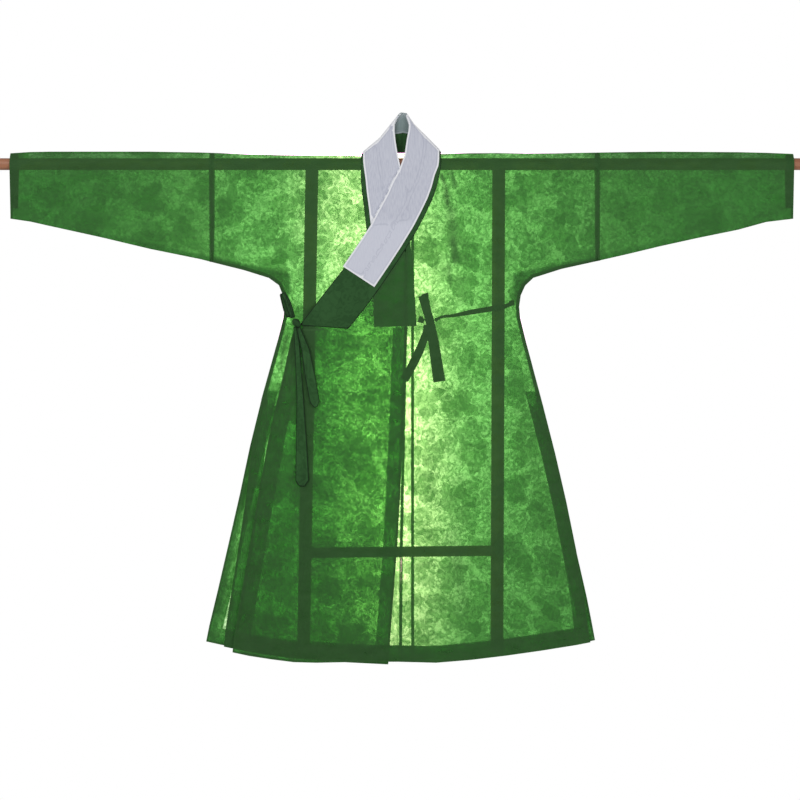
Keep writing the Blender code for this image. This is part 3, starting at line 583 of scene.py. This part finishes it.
def woodMaterial(name, upright=False):
    material, tree = newMaterial(name)
    shader = tree.nodes["Principled BSDF"]
    place = objectPlace(tree)
    if upright:
        place = addNode(tree, "ShaderNodeMapping", in0=place, in2=(0, math.pi / 2, 0)).outputs[0]
    streak, pore = useGroup(tree, woodGrain, place).outputs[:2]
    tone = calc(tree, "ADD", calc(tree, "MULTIPLY", streak, 0.75), calc(tree, "MULTIPLY", pore, 0.25))
    colour = mixColour(tree, ramp(tree, tone, 0.38, 0.62), wood["light"], wood["dark"])
    tree.links.new(colour, shader.inputs["Base Color"])
    tree.links.new(bumpNormal(tree, pore, *wood["poreHeight"]), shader.inputs["Normal"])
    tree.links.new(calc(tree, "MULTIPLY_ADD", pore, 0.25, 0.35), shader.inputs["Roughness"])
    return material


cloth = {
    "rodFold": 0.045,       # cloth from the shoulder fold down to the rod's middle
    "cell": 0.012,
    "snap": 0.0002,         # a cut this near a point goes through it
    "fineCrease": 0.0125,   # a crease narrower than this gets finer cells
    # widths of the two allowances at each kind of sewn edge, and of the fold at a free one
    "allowances": {"side": (0.0090, 0.0045), "join": (0.0060, 0.0030),
                   "centre": (0.0040, 0.0024), "free": (0.0055,)},
    "allowanceGap": 0.0009,
    "reach": 0.00024,       # each edge reaches out to close the gap at its seam
    "collarReach": 0.0022,  # and in between the collar's layers
    "slitTop": -0.575,
    "sideJoin": -0.538,     # front and back are sewn together down to here
}

# Pressed and hanging creases: side, route across and up from the rod, half width, depth outwards, and the
# painted shade in the crease
creases = (
    ("front", ((0.0945, -0.022), (0.099, -0.038), (0.106, -0.056)), 0.0045, -0.0030, 1.0),
    ("front", ((0.104, -0.050), (0.110, -0.078), (0.112, -0.108)), 0.0065, -0.0028, 0.95),
    ("front", ((0.112, -0.092), (0.122, -0.125), (0.124, -0.160), (0.123, -0.195)), 0.0120, -0.0034, 0.62),
    ("front", ((0.121, -0.175), (0.127, -0.208), (0.131, -0.250)), 0.0095, -0.0030, 0.90),
    ("front", ((0.114, -0.240), (0.115, -0.270), (0.119, -0.305)), 0.0050, -0.0018, 0.60),
    ("front", ((0.136, -0.205), (0.148, -0.255)), 0.0100, 0.0024, 0.0),
    ("front", ((0.117, -0.012), (0.126, -0.040), (0.131, -0.066)), 0.0065, -0.0024, 0.75),
    ("front", ((0.104, -0.030), (0.114, -0.066)), 0.0060, 0.0024, 0.0),
    ("front", ((0.452, -0.055), (0.455, -0.130), (0.452, -0.200)), 0.0110, -0.0018, 0.20),
    ("front", ((0.125, -0.850), (0.133, -0.960), (0.150, -1.080), (0.152, -1.170)), 0.0160, -0.0040, 0.38),
    ("front", ((0.070, -0.640), (0.075, -0.760), (0.068, -0.860)), 0.0150, -0.0025, 0.18),
    ("front", ((0.290, -0.560), (0.330, -0.760), (0.352, -0.960)), 0.0170, -0.0030, 0.14),
    ("front", ((-0.275, -0.400), (-0.290, -0.450), (-0.300, -0.520)), 0.0050, -0.0022, 0.75),
    ("front", ((-0.262, -0.405), (-0.268, -0.470), (-0.272, -0.560)), 0.0055, -0.0024, 0.65),
    ("front", ((-0.268, -0.380), (-0.235, -0.368), (-0.190, -0.340)), 0.0060, -0.0016, 0.30),
    ("front", ((-0.262, -0.398), (-0.225, -0.470), (-0.205, -0.560)), 0.0080, -0.0020, 0.35),
    ("back", ((0.110, -0.050), (0.140, -0.250), (0.150, -0.420)), 0.0120, 0.0030, 0.10),
    ("back", ((-0.130, -0.060), (-0.150, -0.220), (-0.145, -0.360)), 0.0110, 0.0030, 0.10),
    ("back", ((0.200, -0.620), (0.235, -0.850), (0.270, -1.100)), 0.0180, 0.0035, 0.10),
    ("back", ((-0.180, -0.640), (-0.210, -0.860), (-0.260, -1.120)), 0.0170, 0.0035, 0.10),
    ("back", ((-0.020, -0.480), (-0.030, -0.760), (-0.025, -0.980)), 0.0150, -0.0030, 0.08),
    ("front", ((-0.470, -0.040), (-0.485, -0.130), (-0.520, -0.190)), 0.0120, -0.0022, 0.16),
    ("front", ((-0.560, -0.050), (-0.590, -0.160)), 0.0130, 0.0025, 0.0),
    ("front", ((0.480, -0.045), (0.500, -0.140), (0.540, -0.190)), 0.0120, -0.0022, 0.16),
    ("front", ((0.600, -0.050), (0.625, -0.160)), 0.0130, 0.0025, 0.0),
    ("front", ((-0.780, -0.060), (-0.800, -0.130)), 0.0140, -0.0020, 0.08),
    ("front", ((0.800, -0.060), (0.825, -0.130)), 0.0140, -0.0020, 0.08),
    ("back", ((-0.520, -0.040), (-0.540, -0.180)), 0.0140, 0.0025, 0.08),
    ("back", ((0.540, -0.040), (0.560, -0.180)), 0.0140, 0.0025, 0.08),
    ("back", ((-0.700, -0.050), (-0.730, -0.150)), 0.0130, -0.0020, 0.08),
    ("back", ((0.720, -0.050), (0.740, -0.150)), 0.0130, -0.0020, 0.08),
)


# distance from a route of points and how far along it the nearest place is, 0 to 1
def along(route, place):
    runs = list(zip(route, route[1:]))
    lengths = [(Vector(end) - Vector(start)).length for start, end in runs]
    best = (math.inf, 0.0)
    done = 0.0
    for (start, end), length in zip(runs, lengths):
        share = (place - Vector(start)).dot(Vector(end) - Vector(start)) / length ** 2
        share = min(max(share, 0.0), 1.0)
        away = (place - Vector(start).lerp(Vector(end), share)).length
        if away < best[0]:
            best = (away, (done + share * length) / sum(lengths))
        done += length
    return best


def routeBox(route, reach):
    across, heights = zip(*route)
    return min(across) - reach, max(across) + reach, min(heights) - reach, max(heights) + reach


# presses the creases into a sheet and paints shade along them: the colour is painted darker in the hollow,
# and the doubled cloth lets less through
def addCreases(bm):
    layer = bm.verts.layers.float.new("shade")
    boxes = [routeBox(route, 3 * half) for _, route, half, _, _ in creases]
    for vert in bm.verts:
        if vert.co.z > -0.02:
            continue
        side = "front" if vert.co.y < 0 else "back"
        for (creaseSide, route, half, depth, shade), (left, right, foot, top) in zip(creases, boxes):
            if side != creaseSide or not (left < vert.co.x < right and foot < vert.co.z < top):
                continue
            away, share = along(route, Vector((vert.co.x, vert.co.z)))
            swell = math.exp(-(away / half) ** 2) * min(1.0, 4.5 * share, 4.5 * (1 - share) + 0.05)
            vert.co.y += depth * swell * (1 if side == "back" else -1)
            vert[layer] = min(vert[layer] + shade * swell, 1.0)


def mergedCopy(nodeName):
    bm = bmesh.new()
    bm.from_mesh(cadNodes[nodeName].data)
    bmesh.ops.remove_doubles(bm, verts=bm.verts, dist=mergeDistance)
    return bm


# the way out of the robe at a place on a sheet
def outwards(place, tube):
    if place.z > 0:
        return Vector((0, place.y, place.z)).normalized()
    return Vector((0, math.copysign(1, place.y), -0.3 if tube else 0)).normalized()


# the outer face of a wall, without its inner face and its edges
def clothSkin(nodeName, tube=False):
    bm = mergedCopy(nodeName)
    inner = [face for face in bm.faces if face.normal.dot(outwards(face.calc_center_median(), tube)) < 0.2]
    bmesh.ops.delete(bm, geom=inner, context="FACES")
    away = {}
    for rim in bm.edges:
        if rim.is_boundary:
            middle = (rim.verts[0].co + rim.verts[1].co) / 2
            run = (rim.verts[1].co - rim.verts[0].co).normalized()
            out = middle - rim.link_faces[0].calc_center_median()
            out = (out - run * out.dot(run)).normalized()
            for vert in rim.verts:
                away[vert] = away.get(vert, Vector()) + out
    for vert, out in away.items():
        atCollar = edgeKind(vert.co, nodeName) == "none"
        vert.co += out.normalized() * cloth["collarReach" if atCollar else "reach"]
    return bm


# even cells along X and Z
def cutCells(bm, spacing):
    if not bm.verts:
        return
    for axis in (0, 2):
        low = min(vert.co[axis] for vert in bm.verts)
        high = max(vert.co[axis] for vert in bm.verts)
        normal = Vector((0, 0, 0))
        normal[axis] = 1
        first = math.floor(low / spacing) + 1
        for step in range(first, math.ceil(high / spacing)):
            bmesh.ops.bisect_plane(bm, geom=bm.verts[:] + bm.edges[:] + bm.faces[:], dist=cloth["snap"],
                                   plane_co=normal * (step * spacing), plane_no=normal)


# softens the flat facets below the rod, moving points only front to back
def relax(bm, rounds=6):
    inner = [vert for vert in bm.verts
             if not vert.is_boundary and vert.co.z < -0.012 and abs(vert.co.y) > 0.003]
    for _ in range(rounds):
        bmesh.ops.smooth_vert(bm, verts=inner, factor=0.5, use_axis_y=True)


# place on the cut cloth: across, and along from the shoulder fold, negative on the back
def unroll(place):
    if place.z > 0:
        down = cloth["rodFold"] * math.atan2(abs(place.y), place.z) / (math.pi / 2)
    else:
        down = cloth["rodFold"] - place.z
    return Vector((place.x, math.copysign(down, -place.y)))


def addUv(bm, shift=(0.0, 0.0)):
    layer = bm.loops.layers.uv.new("cloth")
    for face in bm.faces:
        for loop in face.loops:
            loop[layer].uv = unroll(loop.vert.co) + Vector(shift)


# Where one kind of edge ends and the next begins, across from the middle and up from the rod
edgeAt = {
    "cuffDepth": 0.012,
    "sleeveSeamTop": -0.10,
    "sleeveSeamFrom": 0.5,
    "hemTop": -1.15,
    "armholeAcross": 0.45,
    "armholeFoot": -0.235,
    "sideAcross": 0.27,
    "overlapFree": -0.20,
    "overlapCentre": -0.045,
    "overlapCentreTop": -0.18,
    "underFrontTop": -0.41,
    "underFrontLeft": -0.05,
    "centreTop": -0.19,
    "backSeam": 0.026,
    "seamReach": 0.01,
}


# the kind of edge at a place: sewn at the side, at the sleeve's join or at the centre, or free
def edgeKind(place, nodeName):
    across = abs(place.x)
    if nodeName.startswith("sleeve"):
        cuff = max(abs(corner[0]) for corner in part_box(nodeName))
        if across > cuff - edgeAt["cuffDepth"]:
            return "free"
        isSeam = place.z < edgeAt["sleeveSeamTop"] and across > edgeAt["sleeveSeamFrom"]
        return "side" if isSeam else "join"
    if place.z < edgeAt["hemTop"]:
        return "free"
    if across > edgeAt["armholeAcross"] and place.z > edgeAt["armholeFoot"]:
        return "join"
    if across > edgeAt["sideAcross"]:
        return "side" if place.z > cloth["slitTop"] + edgeAt["seamReach"] else "free"
    if nodeName == "outer_overlap":
        if place.x < edgeAt["overlapFree"]:
            return "free"
        isCentre = place.x > edgeAt["overlapCentre"] and place.z < edgeAt["overlapCentreTop"]
        return "centre" if isCentre else "none"
    if nodeName == "body_right" and place.y < 0:
        isFree = place.z < edgeAt["underFrontTop"] and place.x > edgeAt["underFrontLeft"]
        return "free" if isFree else "none"
    isBackSeam = place.y > 0 and abs(place.x - edgeAt["backSeam"]) < edgeAt["seamReach"]
    return "centre" if place.z < edgeAt["centreTop"] or isBackSeam else "none"


# one allowance along a piece's edges of one kind, pressed flat against its inside
def seamStrips(nodeName, kind, number, tube):
    bm = clothSkin(nodeName, tube)
    ring = bmesh.ops.inset_region(bm, faces=bm.faces[:], thickness=cloth["allowances"][kind][number],
                                  use_boundary=True)["faces"]
    kept = {face for face in ring if edgeKind(face.calc_center_median(), nodeName) == kind}
    bmesh.ops.delete(bm, geom=[face for face in bm.faces if face not in kept], context="FACES")
    cutCells(bm, cloth["cell"])
    for vert in bm.verts:
        vert.co -= outwards(vert.co, False) * cloth["allowanceGap"] * (number + 1)
    return bm


def finishPiece(name, bm, material, nodeNames):
    piece = addObject(name, bm, material)
    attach(piece, "root")
    for nodeName in nodeNames:
        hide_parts(nodeName)
    area = sum(face.area for face in piece.data.polygons)
    print(name, "made,", len(piece.data.polygons), "faces,", round(area, 4), "square metres")
    return piece


slant = {
    "rise": 0.017,
    "fall": -0.018,
    "lean": 0.26,           # across for each metre up, along the robe's side
    "edgeWidth": 0.005,
    "level": 0.002,
    "across": 0.25,
}


# the strips inside a side slit begin on a slant, higher at the edge
def slantTops(bm):
    for vert in bm.verts:
        if vert.is_boundary and abs(vert.co.x) > slant["across"] and atSlitTop(vert):
            outer = max(abs(other.co.x) for other in bm.verts if atSlitTop(other))
            rise = slant["rise"] if outer - abs(vert.co.x) < slant["edgeWidth"] else slant["fall"]
            vert.co += Vector((math.copysign(rise * slant["lean"], -vert.co.x), 0, rise))


def atSlitTop(vert):
    return abs(vert.co.z - cloth["slitTop"]) < slant["level"]


# For each wrapped front, where its top edge runs: from and to across, and how far up from the rod
tucks = {
    "outer_overlap": (-math.inf, -0.135, -0.4054),
    "body_right": (-0.08, 0.016, -0.4012),
}
tuckReach = 0.003
tuckMove = (0, 0.0015, 0.009)


# each wrapped front reaches up behind its collar's end
def tuckTop(bm, nodeName):
    if nodeName not in tucks:
        return
    left, right, height = tucks[nodeName]
    for vert in bm.verts:
        isFront = nodeName == "outer_overlap" or vert.co.y < 0
        if vert.is_boundary and isFront and left < vert.co.x < right and abs(vert.co.z - height) < tuckReach:
            vert.co += Vector(tuckMove)


# finer cells along each crease that is narrower than the cells
def refineCreases(bm):
    near = set()
    for side, route, half, _, _ in creases:
        if half > cloth["fineCrease"]:
            continue
        reach = 2.2 * half
        left, right, foot, top = routeBox(route, reach)
        for face in bm.faces:
            x, y, z = face.calc_center_median()
            if left < x < right and foot < z < top and (side == "back") == (y > 0):
                if along(route, Vector((x, z)))[0] < reach:
                    near.add(face)
    edges = list({edge for face in near for edge in face.edges})
    if edges:
        bmesh.ops.subdivide_edges(bm, edges=edges, cuts=2, use_grid_fill=True)


# joins front and back along the side seams
def closeSides(bm):
    sides = [edge for edge in bm.edges if edge.is_boundary and all(
        abs(vert.co.x) > edgeAt["sideAcross"] and abs(vert.co.y) < 0.0035 and vert.co.z > cloth["sideJoin"]
        for vert in edge.verts)]
    halves = [[rim for rim in sides if all(vert.co.y * way > 0 for vert in rim.verts)] for way in (-1, 1)]
    if all(halves):
        bmesh.ops.bridge_loops(bm, edges=halves[0] + halves[1])


# One row for each sheet: where on the bolt it was cut, as a shift of the figure, the cut's width and
# length in metres and its area where that isn't a rectangle, and what it hangs from
sheets = {
    "body_left": {"shift": (0.0, 0.0), "cut": (0.483, 2.54, 0.95), "on": ["rod"]},
    "body_right": {"shift": (0.37, 0.21), "cut": (0.507, 2.54, 0.98), "on": ["rod"]},
    "outer_overlap": {"shift": (0.11, 0.63), "cut": (0.424, 1.005, 0.30), "on": ["collar", "body_right"]},
    "sleeve_left": {"shift": (0.05, 0.42), "cut": (0.480, 0.565, 0.212), "on": ["rod"]},
    "sleeve_right": {"shift": (0.23, 0.17), "cut": (0.494, 0.571, 0.222), "on": ["rod"]},
    "overlap_facing": {"shift": (0.51, 0.0), "cut": (0.040, 1.20, 0.0478), "on": ["outer_overlap"]},
    "front_facing_left": {"shift": (0.0, 0.33), "cut": (0.040, 1.08, 0.0381), "on": ["body_left"]},
    "back_facing_left": {"shift": (0.15, 0.0), "cut": (0.040, 1.06, 0.0381), "on": ["body_left"]},
    "back_facing_right": {"shift": (0.0, 0.71), "cut": (0.040, 1.12, 0.0406), "on": ["body_right"]},
    "front_facing_right": {"shift": (0.63, 0.09), "cut": (0.040, 1.86, 0.0634), "on": ["body_right"]},
    "cuff_facing_left": {"shift": (0.2, 0.2), "cut": (0.018, 0.290), "on": ["sleeve_left"]},
    "cuff_facing_right": {"shift": (0.3, 0.1), "cut": (0.018, 0.294), "on": ["sleeve_right"]},
}


# the allowances of a panel, and the folds of its free edges, joined in one mesh
def allSeams(nodeName, tube):
    bm = bmesh.new()
    for kind, widths in cloth["allowances"].items():
        for number in range(len(widths)):
            mesh = bpy.data.meshes.new("allowance")
            strip = seamStrips(nodeName, kind, number, tube)
            strip.to_mesh(mesh)
            strip.free()
            bm.from_mesh(mesh)
            bpy.data.meshes.remove(mesh)
    return bm


def makeSheet(nodeName, shift, cut, on):
    tube = nodeName.startswith(("sleeve", "cuff"))
    facing = "facing" in nodeName
    bm = clothSkin(nodeName, tube)
    if facing:
        slantTops(bm)
    tuckTop(bm, nodeName)
    cutCells(bm, cloth["cell"])
    relax(bm)
    if not facing:
        refineCreases(bm)
    if nodeName.startswith("body"):
        closeSides(bm)
    addCreases(bm)
    addUv(bm, shift)
    material = {(True, True): deepBand, (True, False): facingCloth,
                (False, True): sleeveCloth, (False, False): gauzeCloth}[facing, tube]
    piece = finishPiece(nodeName + "_cloth", bm, material, [nodeName])
    if not facing:
        bm = allSeams(nodeName, tube)
        addCreases(bm)
        addUv(bm, shift)
        finishPiece(nodeName + "_seams", bm, seamCloth, [])


makeCamera()
makeStage()
jacquard = jacquardGroup()
plainWeave = weaveGroup()
woodGrain = grainGroup()
gauzeCloth = gauzeMaterial("gauze")
sleeveCloth = gauzeMaterial("gauzeSleeve", contrast=0.72)
facingCloth = gauzeMaterial("gauzeFacing", openness=0.86)
seamCloth = gauzeMaterial("gauzeSeam", openness=0.6, passing=0.8)
deepBand = bandMaterial("collarBand")
tieBand = bandMaterial("tieBand", 1.1)

for nodeName, values in sheets.items():
    makeSheet(nodeName, **values)

alongRod = woodMaterial("woodAlong")
upRight = woodMaterial("woodUpright", upright=True)
for nodeName in ("rod", "upright_left", "upright_right", "crossbar"):
    cadNodes[nodeName].data.materials.clear()
    cadNodes[nodeName].data.materials.append(upRight if "upright" in nodeName else alongRod)


trim = {
    "cell": 0.010,
    "tieCells": 3,            # a tie's cells are this many times finer
    "edgeReach": 0.010,
    "sampleStep": 0.0008,
    "endReach": 0.0048,
    "sharpAt": 50,            # degrees
    "pucker": 0.0011,
    "puckerScale": (190, 11), # across and along
    "freshReach": 0.05,       # puckers are deeper this far from the knot
    "puckerShade": 0.55,
    "tuck": 0.004,            # each end reaches this far up into its knot
    "wrapTurns": 2.6,
    "wrapDepth": 0.17,
    "wrapSlant": (0.55, 0.83),
    "wrapSize": 0.012,
    "wrapNoise": 260,
}


# closely spaced points along the outline of the faces that look forwards
def outlinePoints(bm):
    points = []
    for edge in bm.edges:
        if len({face.normal.y < -0.5 for face in edge.link_faces}) == 2:
            first, last = (vert.co.copy() for vert in edge.verts)
            count = max(1, math.ceil((last - first).length / trim["sampleStep"]))
            points += [first.lerp(last, number / count) for number in range(count + 1)]
    return points


# notes how near each point is to the outline: 1 on it, 0 at edgeReach and less beyond
def markEdges(bm, points):
    layer = bm.verts.layers.float.new("near")
    tree = kdtree.KDTree(len(points))
    for number, place in enumerate(points):
        tree.insert(place, number)
    tree.balance()
    for vert in bm.verts:
        if any(face.normal.y < 0.5 for face in vert.link_faces):
            vert[layer] = 1 - tree.find(vert.co)[2] / trim["edgeReach"]


# lengthwise gathers, deepest where the tie leaves its knot, with painted shade on one side of each
def tiePuckers(bm):
    layer = bm.verts.layers.float.new("shade")
    top = max(vert.co.z for vert in bm.verts)
    for vert in bm.verts:
        across, lengthways = trim["puckerScale"]
        wave = noise.noise(Vector((vert.co.x * across, 3.1, vert.co.z * lengthways)))
        fresh = 1.0 + 1.2 * math.exp(-(top - vert.co.z) / trim["freshReach"])
        vert.co.y += trim["pucker"] * wave * fresh
        vert[layer] = min(1.0, vert[layer] + max(0.0, wave) * trim["puckerShade"] * fresh)
        if top - vert.co.z < trim["tuck"]:
            vert.co.z += trim["tuck"]


# a band wrapped round itself: slanting ridges, with painted shade in the hollows between them and over the
# whole knot
def wrapKnot(bm):
    bmesh.ops.subdivide_edges(bm, edges=bm.edges[:], cuts=2, use_grid_fill=True, smooth=1.0)
    layer = bm.verts.layers.float.new("shade")
    middle = sum((vert.co for vert in bm.verts), Vector()) / len(bm.verts)
    for vert in bm.verts:
        away = vert.co - middle
        turn = (away.x * trim["wrapSlant"][0] + away.z * trim["wrapSlant"][1]) / trim["wrapSize"]
        swell = math.cos(turn * trim["wrapTurns"]) + 0.5 * noise.noise(away * trim["wrapNoise"])
        vert.co = middle + away * (1 + trim["wrapDepth"] * (swell - 0.5))
        vert[layer] = min(1.0, max(0.40, 0.80 - 0.6 * swell))


# The gap between the loop's strands: from its top down, where its middle runs and how it leans
loopGap = {
    "top": -0.3175,
    "length": 0.0605,
    "middle": -0.2870,
    "lean": 0.0215,
    "gapFrom": -0.3200,
    "gapHalf": 0.0022,
    "gapDepth": 0.0025,
    "faceAt": -0.015,
}


# the loop's two strands lie side by side, with painted shade along their outline and in the gap between them
def loopStrands(bm):
    layer = bm.verts.layers.float.new("shade")
    near = bm.verts.layers.float["near"]
    for vert in bm.verts:
        share = (loopGap["top"] - vert.co.z) / loopGap["length"]
        away = abs(vert.co.x - (loopGap["middle"] + loopGap["lean"] * share))
        vert[layer] = min(1.0, max(0.0, (vert[near] - 0.55) / 0.30))
        if vert.co.z < loopGap["gapFrom"]:
            gap = math.exp(-(away / loopGap["gapHalf"]) ** 2)
            vert[layer] = max(vert[layer], gap)
            if vert.co.y < loopGap["faceAt"]:
                vert.co.y += loopGap["gapDepth"] * gap


# Each folded band: its cloth's width and length in metres, and what it lies on or hangs from
bands = {
    "collar": {"cut": (0.100, 1.15), "on": ["body_left", "body_right"]},
    "collar_guard": {"cut": (0.100, 1.10), "on": ["collar"]},
    "inner_tie_ribbon": {"cut": (0.028, 0.225), "on": ["collar"], "knot": "inner_tie_knot"},
    "inner_tie_strap": {"cut": (0.0145, 0.205), "on": ["body_left"]},
    "inner_tie_tab": {"cut": (0.018, 0.016), "on": ["collar"]},
    "inner_tie_tail": {"cut": (0.022, 0.157), "on": ["inner_tie_knot"]},
    "outer_tie_loop": {"cut": (0.0153, 0.144), "on": ["outer_tie_knot"]},
    "outer_tie_tail_long": {"cut": (0.024, 0.390), "on": ["outer_tie_knot"], "knot": "outer_tie_knot"},
    "outer_tie_tail_short": {"cut": (0.0235, 0.204), "on": ["outer_tie_knot"]},
}


# a folded band: its solid, with its edge marked, cut fine and shaped
def softSolid(nodeName, material, slotName):
    isTie = slotName == "tie"
    bm = mergedCopy(nodeName)
    if "knot" in nodeName:
        wrapKnot(bm)
    else:
        points = outlinePoints(bm)
        cutCells(bm, trim["cell"] / (trim["tieCells"] if isTie else 1))
        markEdges(bm, points)
        if nodeName == "collar":
            widenEnds(bm)
        if isTie:
            (loopStrands if "loop" in nodeName else tiePuckers)(bm)
    addUv(bm)
    piece = finishPiece(nodeName + "_cloth", bm, material, [nodeName])
    piece.data.set_sharp_from_angle(angle=math.radians(trim["sharpAt"]))
    even = piece.modifiers.new("even shading", "WEIGHTED_NORMAL")
    even.keep_sharp = True
    return piece


# The collar's two bare ends and the faces that look different, as places across and up from the rod
collarAt = {
    "lowEndTop": -0.26,
    "lowEndFrom": -0.14,
    "lowEndLength": 0.10,
    "underEndTop": -0.20,
    "underEndFrom": 0.005,
    "underEndWidth": 0.022,
    "underEndFade": 0.04,
    "lapelTop": -0.137,
    "lapelAcross": 0.055,
    "lapelSlope": 0.633,      # across for each metre up, along the upper lapel's edge
    "lapelFold": -0.0196,
    "neckFoot": 0.06,
    "neckHalf": 0.020,
    "neckFront": -0.0045,
}


# past the guard's ends the band is as wide as the guard
def widenEnds(bm):
    for vert in bm.verts:
        x, y, z = vert.co
        if z < collarAt["lowEndTop"] and x < collarAt["lowEndFrom"]:
            share = min((collarAt["lowEndFrom"] - x) / collarAt["lowEndLength"], 1.0)
            vert.co.x -= trim["endReach"] * share
        elif z < collarAt["underEndTop"] and x > collarAt["underEndFrom"]:
            share = min((x - collarAt["underEndFrom"]) / collarAt["underEndWidth"], 1.0)
            share *= min((collarAt["underEndTop"] - z) / collarAt["underEndFade"], 1.0)
            vert.co.x += trim["endReach"] * share


# gives some of a piece's faces a second material
def paintFaces(piece, material, chosen):
    piece.data.materials.append(material)
    for face in piece.data.polygons:
        if chosen(face):
            face.material_index = 1


# the under lapel's end, which hangs clear of the wrapped front
def isUnderLapel(face):
    x, y, z = face.center
    edgeAcross = collarAt["lapelAcross"] + collarAt["lapelSlope"] * (z - collarAt["lapelTop"])
    return z < collarAt["lapelTop"] and x > edgeAcross


# what shows inside the neck, between the lapels, which gets a painted shade copy of the guard's material
def isInsideNeck(face):
    x, y, z = face.center
    inNeck = z > collarAt["neckFoot"] and abs(x) < collarAt["neckHalf"] and y > collarAt["neckFront"]
    return inNeck and face.normal.y < -0.3


guardLawn = guardMaterial()
knots = {nodeName: softSolid(nodeName, tieBand, "tie") for nodeName in cadNodes if "knot" in nodeName}
for nodeName, values in bands.items():
    slotName = "tie" if "tie" in nodeName else "guard" if "guard" in nodeName else "collar"
    piece = softSolid(nodeName, {"tie": tieBand, "guard": guardLawn, "collar": deepBand}[slotName], slotName)
    if nodeName == "collar":
        # painted light: the under lapel's end gets a copy of the band's material 3.6 times lighter
        paintFaces(piece, bandMaterial("underLapel", 3.6, foldAt=collarAt["lapelFold"]), isUnderLapel)
    if nodeName == "collar_guard":
        # painted shade: a darker copy of the guard's material inside the neck
        paintFaces(piece, guardMaterial("guardInside", inside=True), isInsideNeck)
